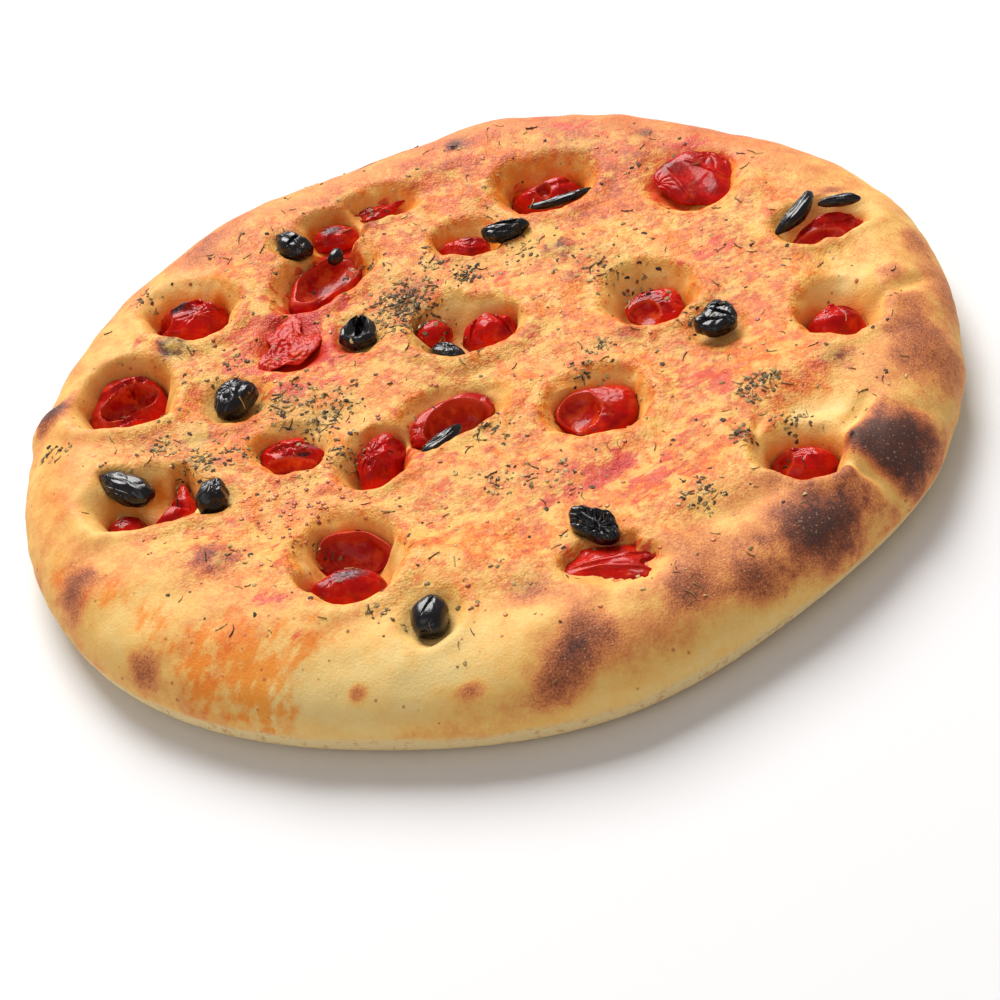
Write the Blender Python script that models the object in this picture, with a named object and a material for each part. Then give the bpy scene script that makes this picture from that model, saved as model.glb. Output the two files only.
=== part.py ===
# Focaccia barese: a round, flat, oil-rich loaf with a puffed rim, deep finger dimples,
# roasted cherry tomatoes pressed into the dimples, black olives and dried oregano.
# The loaf lies on its flat underside at z = 0, centred on the origin, and +Y points away
# from the reader who sees the tomatoes' fronts. Lengths below are millimetres.
import math

import bmesh
import bpy
import numpy as np
from mathutils import Matrix, Vector, noise
from mathutils.bvhtree import BVHTree

MM = 0.001

# The loaf in plan: a mean radius and the slow waves that make it a hand-shaped oval.
RADIUS = 171.7
OVAL = {2: (3.8, 6.3), 3: (-0.2, 0.4), 5: (0.9, -0.5), 6: (-0.8, 0.4), 7: (-1.1, 0.3)}

# The loaf in section: the rim's widest line, its crest, and the floor of the middle.
WAIST = 13.0
CREST = 34.0
MIDDLE = 30.5
TOP_ROUND = 34.0
FRONT_ROUND = 8.0
UNDER_ROUND = 11.0
CREASE = 0.7

# Facets: the middle is a square patch of CORE by CORE cells, then rings out to the base.
CORE = 40
FLAT_RINGS = 7
TOP_RINGS = 6
UNDER_RINGS = 3
CORE_REACH = 0.60

# Clear air between the dough and whatever lies in it, and the least dough under it.
AIR = 0.5
THINNEST = 5.0

# Soft swellings and hollows of the dough: x, y, height, reach in x, reach in y, turn.
# The first six are burst or burnt bubbles of the rim.
SWELLS = (
    (134, -86, 4.5, 15, 22, -28),
    (98, -121, 3.6, 25, 16, 35),
    (-163, 29, 4.5, 8, 7, 0),
    (-114, 51, 2.6, 6, 5, 0),
    (16, -150, 1.6, 17, 14, 0),
    (52, -138, 1.4, 15, 12, 0),
    (-107, -75, 1.5, 9, 8, 0),
    (-154, -75, 1.6, 11, 12, 0),
    (36, 64, 1.6, 8, 7, 0),
    (151, -30, 2.4, 15, 24, 0),
    (123, -35, 1.5, 9, 8, 0),
    (-84, 121, 1.8, 18, 14, 40),
    (-34, -103, 1.8, 20, 16, 0),
    (4, -60, 1.8, 22, 18, 0),
    (84, -46, 2.0, 20, 18, 0),
    (44, 2, 1.2, 16, 12, 0),
    (-95, -52, 1.0, 14, 12, 0),
    (-92, -104, 1.6, 20, 16, 0),
    (62, 62, 1.8, 18, 16, 0),
    (70, 126, 1.6, 18, 10, 0),
    (-100, 96, -3.4, 13, 10, 0),
    (-58, -8, -3.0, 13, 9, 0),
    (137, 14, -4.0, 12, 13, 0),
    (113, -62, -4.0, 15, 13, 0),
    (-110, -10, -2.0, 16, 9, 0),
    (-8, 120, -4.0, 18, 8, 8),
    (-22, 47, -2.4, 14, 10, 0),
    (-4, -2, -2.8, 16, 8, 22),
    (146, -112, -2.0, 7, 10, -40),
    (60, -108, -1.6, 12, 8, 0),
)

# Finger dimples: x, y, reach in x, reach in y, turn, depth, steepness of the wall.
DIMPLES = (
    (-59, -90.5, 15.0, 20.0, 0, 15.0, 7),
    (37, -33, 15.5, 15.0, -8, 14.0, 7),
    (66, 24, 14.0, 15.0, 0, 15.5, 7),
    (131, -11, 12.5, 14.5, 0, 14.5, 7),
    (101, -84, 12.4, 12.6, 0, 15.0, 7),
    (39, 107, 15.6, 14.5, 0, 14.5, 7),
    (95, 88, 16.5, 16.5, 33, 4.6, 6),
    (136, 44, 15.5, 10.0, 6, 10.0, 6),
    (5, 84, 11.5, 9.8, 0, 9.5, 6),
    (-3, 29, 16.5, 14.5, -12, 14.5, 7),
    (-45, -37, 10.2, 14.0, -15, 13.5, 6),
    (-16, -21, 18.0, 11.5, 22, 13.0, 6),
    (-74, -21.5, 11.8, 11.5, -11, 11.0, 6),
    (-128, -36, 18.0, 14.0, -12, 15.0, 7),
    (-133, 26, 15.5, 16.0, 20, 17.0, 7),
    (-105, 71.5, 14.5, 16.0, 14, 14.5, 7),
    (-54, 77, 18.5, 12.0, 39, 14.0, 6),
    (-47, 105, 11.0, 9.5, 0, 10.5, 6),
    (-27, 116, 14.0, 8.0, 12, 7.5, 6),
    (-69, 39, 14.5, 11.5, 73, 4.0, 5),
    (-92, 13, 12.0, 10.0, 52, 6.5, 5),
    (-103, -44, 8.8, 7.8, 60, 4.0, 5),
    (-35, -129, 10.5, 8.8, 72, 5.5, 5),
    (26, -103, 12.0, 8.0, -62, 2.5, 5),
    (87, -4, 10.0, 8.8, 60, 2.5, 5),
    (-43, 38, 10.5, 8.8, 79, 3.5, 5),
    (-62, 100, 9.0, 7.0, -50, 4.5, 5),
    (29, -121, 16.5, 11.0, -18, 3.6, 5),
)
LIP = 1.1

# What lies on the loaf. Each row: name, form, x, y, underside z, length, width, height,
# turn about the upright, lean, sideways bend along the length. A tomato leans with its
# far side up and a strip with its end up.
TOPPINGS = (
    ("tomato_01", "skin", -28, 119, 25.0, 22, 9, 4, 12, 0, 1.0),
    ("tomato_02", "dome", -46, 109, 20.5, 20, 14, 9, -3, 0, 0),
    ("tomato_03", "cup", -54, 82.5, 16.0, 37, 22, 12, 42, 12, 0),
    ("tomato_04", "skin", -70, 41, 26.5, 32, 25, 5, 73, 0, 0),
    ("tomato_05", "dome", -107, 74, 15.0, 31, 22, 18, 14, 12, 0),
    ("tomato_06", "dome", -133, 33.5, 13.0, 34, 28, 16, 27, 20, 0),
    ("tomato_07", "dome", -137, -37, 16.0, 15, 13, 9, -18, 0, 0),
    ("tomato_08", "dome", -119, -34, 15.0, 28, 15, 13.5, 60, 0, 4.0),
    ("tomato_09", "dome", -75, -18.5, 19.0, 25, 17, 9, -11, 14, 0),
    ("tomato_10", "dome", -43.5, -30.5, 15.0, 27, 18, 15, 66, 0, 1.0),
    ("tomato_11", "cup", -15.5, -17.5, 15.5, 36, 18, 13, 22, 24, -2.0),
    ("tomato_12", "cup", -58, -77, 14.0, 29, 19, 12, -14, 22, 0),
    ("tomato_13", "dome", -62.5, -97, 16.5, 31, 17, 14, 8, 0, 0),
    ("tomato_14", "dome", 3, 85.5, 20.0, 22, 12, 8, -3, 0, 0),
    ("tomato_15", "dome", 39, 110, 16.0, 31, 16, 13, 5, 0, 1.5),
    ("tomato_16", "dome", -16, 38, 16.5, 15, 13, 11, 5, 0, 0),
    ("tomato_17", "dome", 5.5, 31, 15.0, 23, 18, 14.5, -3, 0, 0),
    ("tomato_18", "cup", 68, 27, 15.0, 23, 18, 11, -3, 12, 0),
    ("tomato_19", "cup", 96, 90, 26.0, 33, 31, 7, 33, 11, 0),
    ("tomato_20", "cup", 137, 43, 20.0, 30, 14, 14, 6, 28, 0),
    ("tomato_21", "dome", 128.5, -9, 15.0, 25, 18, 15, 12, 0, 0),
    ("tomato_22", "cup", 37, -28.5, 14.0, 32, 23, 16, -6, 12, 0),
    ("tomato_23", "dome", 101, -82, 15.0, 26, 18, 14, -3, 0, 0),
    ("tomato_24", "skin", 28, -118.5, 27.5, 31, 20, 5, -18, 0, 0),
    ("olive_01", "olive", -62, 99.5, 27.0, 20, 12, 10.5, -50, 0, 1.0),
    ("olive_02", "olive", -47, 91, 26.4, 9, 6, 6, 60, 0, 0),
    ("olive_03", "open", -43, 38, 27.0, 20, 15, 10, 79, 0, 0),
    ("olive_04", "olive", -92, 13, 24.0, 21, 16, 13, 52, 0, 0),
    ("olive_05", "olive", -134, -25.5, 24.0, 27, 12.5, 11.5, -44, 0, 0),
    ("olive_06", "olive", -103, -44.5, 26.5, 15, 12.5, 13.5, 64, 0, 0),
    ("olive_07", "olive", -35, -129, 25.5, 18, 14, 13, 72, 0, 0),
    ("olive_08", "open", 26, -102.5, 31.0, 24, 14, 8, -62, 0, 0),
    ("olive_09", "open", 87, -3.5, 29.8, 20, 16, 11, 60, 0, 0),
    ("olive_10", "olive", 19.5, 80.5, 28.5, 21, 10.5, 8, 5, 0, 1.0),
    ("olive_11", "strip", 43, 95, 29.0, 29, 4.5, 4, 8, 0, 2.0),
    ("olive_12", "strip", 127.5, 48.5, 31.0, 24, 7.5, 7, 40, 12, 2.0),
    ("olive_13", "strip", 144, 47.5, 34.3, 18, 5.5, 5, -5, 0, -1.0),
    ("olive_14", "olive", -12, 19, 24.0, 15, 9, 6, -32, 0, 0),
    ("olive_15", "strip", -20, -33, 26.0, 21, 6.5, 5, 37, 0, 1.0),
)

# The largest shreds of dried oregano, seeded so that each build is the same.
SHREDS = 44
SHRED_SEED = 29
SHRED_LENGTH = 5.0
SHRED_WIDTH = 1.5
SHRED_CLEAR = 3.0


def outline(theta):
    """Plan radius of the loaf's widest line in the direction theta."""
    radius = np.full_like(theta, RADIUS)
    for wave, (along, across) in OVAL.items():
        radius = radius + along * np.cos(wave * theta) + across * np.sin(wave * theta)
    return radius


def reach(x, y, row_x, row_y, size_x, size_y, turn):
    """How far (x, y) lies from a turned ellipse's centre, where 1 is its edge."""
    cosine = math.cos(math.radians(turn))
    sine = math.sin(math.radians(turn))
    along = (x - row_x) * cosine + (y - row_y) * sine
    across = (y - row_y) * cosine - (x - row_x) * sine
    return np.sqrt((along / size_x) ** 2 + (across / size_y) ** 2)


def swelling(x, y):
    """Height that soft bubbles and hollows add to the dough."""
    total = np.zeros_like(x)
    for row_x, row_y, height, size_x, size_y, turn in SWELLS:
        away = reach(x, y, row_x, row_y, size_x, size_y, turn)
        total = total + height * np.exp(-0.9 * away**2)
    slow = [noise.noise(Vector((a / 36, b / 36, 4.2))) for a, b in zip(x, y)]
    quick = [noise.noise(Vector((a / 15, b / 15, 9.7))) for a, b in zip(x, y)]
    return total + 1.6 * np.array(slow) + 0.7 * np.array(quick)


def dimpling(x, y):
    """Depth that finger dimples take away, less the lip that they push up."""
    fourth = np.zeros_like(x)
    lip = np.zeros_like(x)
    for row_x, row_y, size_x, size_y, turn, depth, steep in DIMPLES:
        away = reach(x, y, row_x, row_y, size_x, size_y, turn)
        fourth = fourth + (depth / (1 + away**steep)) ** 4
        lip = np.maximum(lip, depth / 15 * np.exp(-(((away - 1.4) / 0.25) ** 2)))
    depth = fourth**0.25
    return depth - LIP * lip * np.clip(1 - depth / 4, 0, 1)


def dough(theta, place):
    """Points of the crust. place runs 0 to 1 from the middle to the rim's crest, to 2 at
    the widest line and to 3 at the edge of the base."""
    radius = outline(theta)
    top_round = TOP_ROUND - FRONT_ROUND * np.sin(theta)
    crest_at = radius - top_round
    flat = np.clip(place, 0, 1)
    over = np.radians(90 * np.clip(2 - place, 0, 1))
    under = np.radians(90 * np.clip(place - 2, 0, 1))
    far = np.where(place <= 1, flat * crest_at, crest_at + top_round * np.cos(over))
    tuck = UNDER_ROUND * (1 - np.cos(under))
    crease = CREASE * np.exp(-(((under - 0.30) / 0.12) ** 2))
    far = np.where(place > 2, radius - tuck - crease, far)
    rise = np.clip((flat - 0.62) / 0.3, 0, 1)
    inner = MIDDLE + (CREST - MIDDLE) * rise * rise * (3 - 2 * rise)
    high = np.where(place <= 1, inner, WAIST + (CREST - WAIST) * np.sin(over))
    high = np.where(place > 2, WAIST * (1 - np.sin(under)), high)
    x = far * np.cos(theta)
    y = far * np.sin(theta)
    upward = np.where(place <= 1, 1.0, np.sin(over))
    outward = np.where(place <= 1, 0.0, np.cos(over))
    outward = np.where(place > 2, np.cos(under) ** 6, outward)
    upward = np.where(place > 2, 0.0, upward)
    lump = swelling(x, y)
    # Bubbles push outward too, but the widest line keeps the plan.
    side = np.clip(lump, 0, 2.5) * outward
    sunk = np.clip(dimpling(x, y), -3, 30) * np.clip(upward * 1.3, 0, 1)
    return (
        (far + side) * np.cos(theta),
        (far + side) * np.sin(theta),
        high + lump * upward - sunk,
    )


def crust_mesh():
    """The loaf's skin: a square patch in the middle, then rings over the rim and under."""
    bm = bmesh.new()
    bmesh.ops.create_grid(bm, x_segments=CORE, y_segments=CORE, size=1.0)
    address = {}
    for vert in bm.verts:
        u, v = vert.co.x, vert.co.y
        span = max(abs(u), abs(v), 1e-9)
        share = min(abs(u), abs(v)) / span * math.pi / 4
        turn = share if abs(u) >= abs(v) else math.pi / 2 - share
        round_x = math.copysign(math.cos(turn), u)
        round_y = math.copysign(math.sin(turn), v)
        blend = 0.75 * span
        px = (1 - blend) * 0.85 * u + blend * span * round_x
        py = (1 - blend) * 0.85 * v + blend * span * round_y
        address[vert] = (math.atan2(py, px), math.hypot(px, py) * CORE_REACH)
    edge = [e for e in bm.edges if e.is_boundary]
    even = {}
    for vert in {v for e in edge for v in e.verts}:
        u, v = vert.co.x, vert.co.y
        share = min(abs(u), abs(v)) * math.pi / 4
        turn = share if abs(u) >= abs(v) else math.pi / 2 - share
        even[vert] = math.atan2(math.copysign(math.sin(turn), v), math.copysign(math.cos(turn), u))
    stops = [i / FLAT_RINGS for i in range(1, FLAT_RINGS + 1)]
    steps = [("flat", s) for s in stops]
    steps += [("rim", 1 + i / TOP_RINGS) for i in range(1, TOP_RINGS + 1)]
    steps += [("rim", 2 + i / UNDER_RINGS) for i in range(1, UNDER_RINGS + 1)]
    root = {v: v for v in even}
    for kind, step in steps:
        grown = bmesh.ops.extrude_edge_only(bm, edges=edge)["geom"]
        fresh = {g for g in grown if isinstance(g, bmesh.types.BMVert)}
        edge = [g for g in grown if isinstance(g, bmesh.types.BMEdge)]
        edge = [e for e in edge if all(v in fresh for v in e.verts)]
        for vert in fresh:
            old = next(e.other_vert(vert) for e in vert.link_edges if e.other_vert(vert) not in fresh)
            start = root[old]
            root[vert] = start
            theta, place = address[start]
            share = step if kind == "flat" else 1.0
            gap = (even[start] - theta + math.pi) % (2 * math.pi) - math.pi
            place = place + (1 - place) * step if kind == "flat" else step
            address[vert] = (theta + gap * share, place)
    bmesh.ops.edgeloop_fill(bm, edges=edge)
    verts = list(bm.verts)
    theta = np.array([address[v][0] for v in verts])
    place = np.array([address[v][1] for v in verts])
    x, y, z = dough(theta, place)
    for vert, a, b, c in zip(verts, x, y, z):
        vert.co = (a, b, c)
    # One fixed order of points and faces, so that each build is the same.
    bm.verts.sort(key=lambda v: v.co.x * 9973 + v.co.y * 97 + v.co.z)
    bmesh.ops.recalc_face_normals(bm, faces=bm.faces)
    bmesh.ops.triangulate(bm, faces=bm.faces)
    bm.faces.sort(key=lambda f: sum(v.co.x * 9973 + v.co.y * 97 + v.co.z for v in f.verts))
    return bm


def form_points(unit, form, length, width, height, bend, phase):
    """A topping from a unit ball: length along x, resting on z = 0."""
    ux, uy, uz = unit
    turn = np.arctan2(uy, ux)
    flat = np.sqrt(ux**2 + uy**2)
    up = np.clip(uz, 0, None)
    down = np.clip(-uz, 0, None)
    ripple = 1 + 0.05 * flat * np.cos(3 * turn + phase) + 0.035 * flat * np.cos(5 * turn - phase)
    if form == "dome":
        z = height * (0.34 + 0.66 * up - 0.34 * down)
    elif form == "cup":
        dent = 0.62 * np.clip(1 - (flat / 0.92) ** 2, 0, 1)
        z = height * (0.55 + 0.45 * up**0.5 - 0.55 * down - dent * (uz > 0) * 0.85)
        z = np.where(uz > 0, np.maximum(z, height * 0.22), z)
    elif form == "skin":
        ripple = 1 + 0.16 * flat * np.cos(3 * turn + phase) + 0.1 * flat * np.cos(5 * turn)
        wave = 0.18 * np.sin(2.3 * ux + phase) * np.cos(2.9 * uy)
        z = height * (0.42 + 0.4 * uz + wave)
    elif form == "open":
        dent = 0.5 * np.clip(1 - (flat / 0.75) ** 2, 0, 1)
        z = height * (0.5 + 0.5 * np.sign(uz) * np.abs(uz) ** 0.8 - dent * (uz > 0))
        z = np.where(uz > 0, np.maximum(z, height * 0.35), z)
    else:
        z = height * (0.5 + 0.5 * uz)
    x = ux * length / 2 * ripple
    y = uy * width / 2 * ripple
    if form == "open":
        # A split olive narrows to a point at one end.
        y = y * (1 - 0.28 * ux)
    y = y + bend * (ux**2 - 0.4)
    return x, y, z


def topping_mesh(row, number):
    """One tomato or olive, placed on the loaf."""
    name, form, x, y, base, length, width, height, turn, lean, bend = row
    round_count, rise_count = (12, 5) if name.startswith("tomato") else (10, 5)
    bm = bmesh.new()
    bmesh.ops.create_uvsphere(bm, u_segments=round_count, v_segments=rise_count, radius=1.0)
    unit = np.array([v.co for v in bm.verts]).T
    local = form_points(unit, form, length, width, height, bend, 1.7 * number)
    for vert, a, b, c in zip(bm.verts, *local):
        vert.co = (a, b, c)
    tip = ("Y", -lean) if form == "strip" else ("X", lean)
    bmesh.ops.rotate(bm, verts=bm.verts, cent=(0, 0, height / 2),
                     matrix=Matrix.Rotation(math.radians(tip[1]), 3, tip[0]))
    bmesh.ops.rotate(bm, verts=bm.verts, cent=(0, 0, 0),
                     matrix=Matrix.Rotation(math.radians(turn), 3, "Z"))
    low = min(v.co.z for v in bm.verts)
    bmesh.ops.translate(bm, verts=bm.verts, vec=(x, y, base - low))
    bmesh.ops.recalc_face_normals(bm, faces=bm.faces)
    bmesh.ops.triangulate(bm, faces=bm.faces, quad_method="FIXED")
    return bm


def skin_samples(bm, spacing):
    """Points spread evenly AIR off a topping, no further apart than spacing."""
    bm.normal_update()
    found = []
    for face in bm.faces:
        a, b, c = (v.co for v in face.verts)
        count = max(1, math.ceil(max((b - a).length, (c - a).length, (c - b).length) / spacing))
        for i in range(count + 1):
            for j in range(count + 1 - i):
                spot = a + (b - a) * (i / count) + (c - a) * (j / count)
                found.append(spot + face.normal * AIR)
    return found


def settle(bm, samples, rounds):
    """Sinks the dough under each topping until it clears the samples, facet by facet."""
    for _ in range(rounds):
        bm.faces.ensure_lookup_table()
        tree = BVHTree.FromBMesh(bm)
        worst = 0.0
        for point in samples:
            hit, normal, index, distance = tree.ray_cast(Vector((point.x, point.y, 90)), Vector((0, 0, -1)))
            if index is None:
                continue
            verts = bm.faces[index].verts
            a, b, c = (Vector((v.co.x, v.co.y)) for v in verts)
            area = (b - a).cross(c - a)
            if abs(area) < 0.4:
                continue
            flat = Vector((point.x, point.y))
            first = (b - flat).cross(c - flat) / area
            second = (c - flat).cross(a - flat) / area
            share = [min(max(s, 0.0), 1.0) for s in (first, second, 1 - first - second)]
            over = sum(s * v.co.z for s, v in zip(share, verts)) - point.z
            if over <= 0.01:
                continue
            worst = max(worst, over)
            whole = sum(s * s for s in share)
            for vert, part in zip(verts, share):
                vert.co.z = max(vert.co.z - over * part / whole, min(vert.co.z, THINNEST))
        if worst <= 0.02:
            break
    return worst


def material(name, colour, roughness):
    made = bpy.data.materials.new(name)
    made.use_nodes = True
    shader = made.node_tree.nodes["Principled BSDF"]
    shader.inputs["Base Color"].default_value = (*colour, 1)
    shader.inputs["Roughness"].default_value = roughness
    shader.inputs["Metallic"].default_value = 0.0
    return made


def add_object(name, bm, surface):
    """Turns a shape in millimetres into an object in metres."""
    bmesh.ops.scale(bm, vec=(MM, MM, MM), verts=bm.verts)
    mesh = bpy.data.meshes.new(name)
    bm.to_mesh(mesh)
    bm.free()
    made = bpy.data.objects.new(name, mesh)
    bpy.context.scene.collection.objects.link(made)
    mesh.materials.append(surface)
    return made


def shred_places(tree):
    """Spots for oregano: on the open dough, clear of toppings and of each other."""
    rng = np.random.default_rng(SHRED_SEED)
    kept = []
    while len(kept) < SHREDS:
        theta = rng.uniform(0, 2 * math.pi)
        far = 150 * math.sqrt(rng.uniform(0, 1))
        x, y = far * math.cos(theta), far * math.sin(theta)
        if any(math.hypot(x - a, y - b) < 9 for a, b, _, _ in kept):
            continue
        clear = all(
            reach(x, y, row[2], row[3], row[5] / 2 + SHRED_CLEAR + 3, row[6] / 2 + SHRED_CLEAR + 3, row[8]) > 1
            for row in TOPPINGS
        )
        steep = any(0.55 < reach(x, y, *row[:5]) < 1.35 for row in DIMPLES)
        if not clear or steep:
            continue
        hit, normal, index, distance = tree.ray_cast(Vector((x, y, 90)), Vector((0, 0, -1)))
        if normal.z > 0.86:
            kept.append((x, y, hit, normal))
    return kept


def add_shreds(tree, group, surface):
    """Lays the shreds on the dough, each half sunk, in a collection of their own."""
    rng = np.random.default_rng(SHRED_SEED + 1)
    for number, (x, y, hit, normal) in enumerate(shred_places(tree)):
        bm = bmesh.new()
        bmesh.ops.create_icosphere(bm, subdivisions=1, radius=1.0)
        size = rng.uniform(0.75, 1.15)
        bmesh.ops.scale(bm, verts=bm.verts,
                        vec=(SHRED_LENGTH / 2 * size, SHRED_WIDTH / 2 * size, 0.75 * size))
        bmesh.ops.rotate(bm, verts=bm.verts, cent=(0, 0, 0),
                         matrix=Matrix.Rotation(rng.uniform(0, math.pi), 3, "Z"))
        tilt = Vector((0, 0, 1)).rotation_difference(normal).to_matrix()
        bmesh.ops.rotate(bm, verts=bm.verts, cent=(0, 0, 0), matrix=tilt)
        bmesh.ops.translate(bm, verts=bm.verts, vec=hit + normal * 0.1)
        made = add_object(f"shred_{number:02d}", bm, surface)
        bpy.context.scene.collection.objects.unlink(made)
        group.objects.link(made)


def main():
    for leftover in list(bpy.data.objects):
        bpy.data.objects.remove(leftover)

    baked = material("baked_dough", (0.78, 0.47, 0.17), 0.6)
    tomato = material("roast_tomato", (0.62, 0.06, 0.025), 0.25)
    olive = material("black_olive", (0.03, 0.022, 0.025), 0.3)

    # The toppings come first, since the dough is sunk to fit under them.
    samples = []
    shapes = []
    for number, row in enumerate(TOPPINGS):
        bm = topping_mesh(row, number)
        samples += skin_samples(bm, 1.2)
        shapes.append((row[0], bm))

    samples.sort(key=lambda p: (round(p.x, 3), round(p.y, 3), round(p.z, 3)))
    crust = crust_mesh()
    left = settle(crust, samples, 40)
    print("crust triangles", len(crust.faces), "worst overlap left", round(left, 3), "mm")
    tree = BVHTree.FromBMesh(crust)
    group = bpy.data.collections.new("oregano")
    bpy.context.scene.collection.children.link(group)
    add_shreds(tree, group, baked)
    loaf = add_object("crust", crust, baked)

    for name, bm in shapes:
        add_object(name, bm, tomato if name.startswith("tomato") else olive)

    # The shreds are baked onto the crust, so one union joins them all to it.
    join = loaf.modifiers.new("baked on", "BOOLEAN")
    join.operation = "UNION"
    join.solver = "EXACT"
    join.operand_type = "COLLECTION"
    join.collection = group
    bpy.context.view_layer.update()
    graph = bpy.context.evaluated_depsgraph_get()
    joined = bpy.data.meshes.new_from_object(loaf.evaluated_get(graph))
    loaf.modifiers.clear()
    loaf.data = joined
    for shred in list(group.objects):
        bpy.data.objects.remove(shred)
    bpy.data.collections.remove(group)


main()
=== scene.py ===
# %% [markdown]
# # A focaccia barese, dressed in Blender
# Focaccia barese is a round flatbread baked in an oiled pan. Fingers press deep dimples
# into the risen dough, and halved cherry tomatoes, black olives and dried oregano go in.
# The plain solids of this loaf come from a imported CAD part. The lesson keeps every piece
# where the CAD has it, makes finer meshes from the same recipe, and paints them with
# node materials.

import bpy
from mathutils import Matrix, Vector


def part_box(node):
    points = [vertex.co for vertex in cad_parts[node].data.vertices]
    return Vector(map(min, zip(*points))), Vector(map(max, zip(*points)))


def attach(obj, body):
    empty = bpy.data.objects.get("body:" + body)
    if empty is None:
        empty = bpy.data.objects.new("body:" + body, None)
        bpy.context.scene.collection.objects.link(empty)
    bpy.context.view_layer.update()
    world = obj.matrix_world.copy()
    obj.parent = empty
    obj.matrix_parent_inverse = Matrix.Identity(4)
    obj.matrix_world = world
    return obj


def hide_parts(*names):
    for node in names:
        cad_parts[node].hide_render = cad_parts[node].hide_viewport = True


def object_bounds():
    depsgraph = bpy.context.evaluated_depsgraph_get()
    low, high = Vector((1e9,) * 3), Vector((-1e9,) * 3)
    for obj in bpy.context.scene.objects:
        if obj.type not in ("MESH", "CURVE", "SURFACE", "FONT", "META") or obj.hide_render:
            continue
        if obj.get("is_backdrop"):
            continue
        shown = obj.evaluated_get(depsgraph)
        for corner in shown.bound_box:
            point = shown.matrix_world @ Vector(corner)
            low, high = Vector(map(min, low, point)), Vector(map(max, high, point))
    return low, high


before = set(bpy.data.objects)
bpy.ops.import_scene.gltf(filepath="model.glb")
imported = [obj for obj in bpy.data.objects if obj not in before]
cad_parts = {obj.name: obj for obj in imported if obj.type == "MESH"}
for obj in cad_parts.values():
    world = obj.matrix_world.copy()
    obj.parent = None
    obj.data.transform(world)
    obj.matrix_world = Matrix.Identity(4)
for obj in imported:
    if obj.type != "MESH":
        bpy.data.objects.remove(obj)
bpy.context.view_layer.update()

# %% Tools used all through
import math
from functools import partial

import bmesh
import bpy
import numpy as np
from mathutils import Matrix, Vector, noise
from mathutils.bvhtree import BVHTree

MM = 0.001
print("Blender", bpy.app.version_string, "with", len(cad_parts), "CAD nodes")

# %% [markdown]
# ## The camera
# The picture looks down at about 40 degrees, and the camera is rolled by 12 degrees, so
# the loaf seems to climb to the right. A camera could be aimed with a Track To
# constraint, but that can't hold a roll. Here its three axes are worked out as vectors
# and written straight into its matrix.

# %% Place the camera
ELEVATION, ROLL = math.radians(40), math.radians(12)
DISTANCE = 1.1
FOCAL_LENGTH, SENSOR_WIDTH = 109.3, 36.0
AIM = Vector((-0.00414, -0.03858, 0.0))

back = Vector((0, -math.cos(ELEVATION), math.sin(ELEVATION)))
level = Vector((1, 0, 0))
upright = back.cross(level)
right = level * math.cos(ROLL) - upright * math.sin(ROLL)
up = level * math.sin(ROLL) + upright * math.cos(ROLL)
lens = bpy.data.cameras.new("camera")
lens.lens, lens.sensor_width = FOCAL_LENGTH, SENSOR_WIDTH
lens.clip_start, lens.clip_end = 0.05, 50.0
camera = bpy.data.objects.new("camera", lens)
bpy.context.scene.collection.objects.link(camera)
matrix = Matrix((right, up, back)).transposed().to_4x4()
matrix.translation = AIM + back * DISTANCE
camera.matrix_world = matrix
bpy.context.scene.camera = camera
print("camera at", [round(v, 3) for v in camera.matrix_world.translation])


# %% [markdown]
# ## Small helpers for tables, colours, nodes and objects
# Long tables are written as text with a semicolon between rows, which is short to read
# and easy to edit. Colours are easiest to judge as the 0 to 255 numbers of a picture,
# while Blender's shaders work in linear light, so one helper turns the first into the
# second. A node's socket knows the tree it is in, so the helpers for nodes only need the
# sockets, and shader values can be added and multiplied almost as numbers are.

# %% Helpers
def rows_of(text):
    """The rows of a table written as text: a tuple of words and numbers for each."""
    return [tuple(word if word[0].isalpha() else float(word) for word in row.split())
            for row in text.split(";")]


def tables_of(text):
    """Named tables in one text: each a name, a colon and its rows, with a | between."""
    return {name.strip(): rows_of(rows) for name, rows in
            (part.split(":") for part in text.split("|"))}


def limit(values):
    """The values, with none below 0 or above 1."""
    return np.minimum(np.maximum(values, 0), 1)


def colour(red, green, blue):
    """A picture's 0 to 255 colour as the linear colour that a shader needs."""
    made = []
    for value in (red, green, blue):
        share = value / 255
        made.append(share / 12.92 if share <= 0.04045 else ((share + 0.055) / 1.055) ** 2.4)
    return (*made, 1.0)


def feed(socket, value):
    """Links another node's output to a socket, or else sets the socket's own value."""
    if isinstance(value, bpy.types.NodeSocket):
        socket.id_data.links.new(value, socket)
    else:
        socket.default_value = value


def fill(node, **sockets):
    """Feeds a node's inputs by name, with _ for a space."""
    for name, value in sockets.items():
        feed(node.inputs[name.replace("_", " ")], value)
    return node


def add_node(tree, kind, settings=None, **sockets):
    """A shader node with its settings and its inputs."""
    made = tree.nodes.new(kind)
    for name, value in (settings or {}).items():
        setattr(made, name, value)
    return fill(made, **sockets)


def tree_with(values):
    """The node tree that the first socket among the values is in."""
    return next(v.id_data for v in values if isinstance(v, bpy.types.NodeSocket))


def calculate(operation, first, second=0.0, clamp=False):
    """One Math node."""
    made = add_node(tree_with((first, second)), "ShaderNodeMath",
                    {"operation": operation, "use_clamp": clamp})
    feed(made.inputs[0], first)
    feed(made.inputs[1], second)
    return made.outputs[0]


plus, minus, times, divide = (
    partial(calculate, kind) for kind in ("ADD", "SUBTRACT", "MULTIPLY", "DIVIDE"))


def blend(share, low, high, kind="MIX"):
    """One colour Mix node."""
    made = add_node(tree_with((share, low, high)), "ShaderNodeMix",
                    {"data_type": "RGBA", "blend_type": kind, "clamp_factor": True})
    for number, value in ((0, share), (6, low), (7, high)):
        feed(made.inputs[number], value)
    return made.outputs[2]


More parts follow.
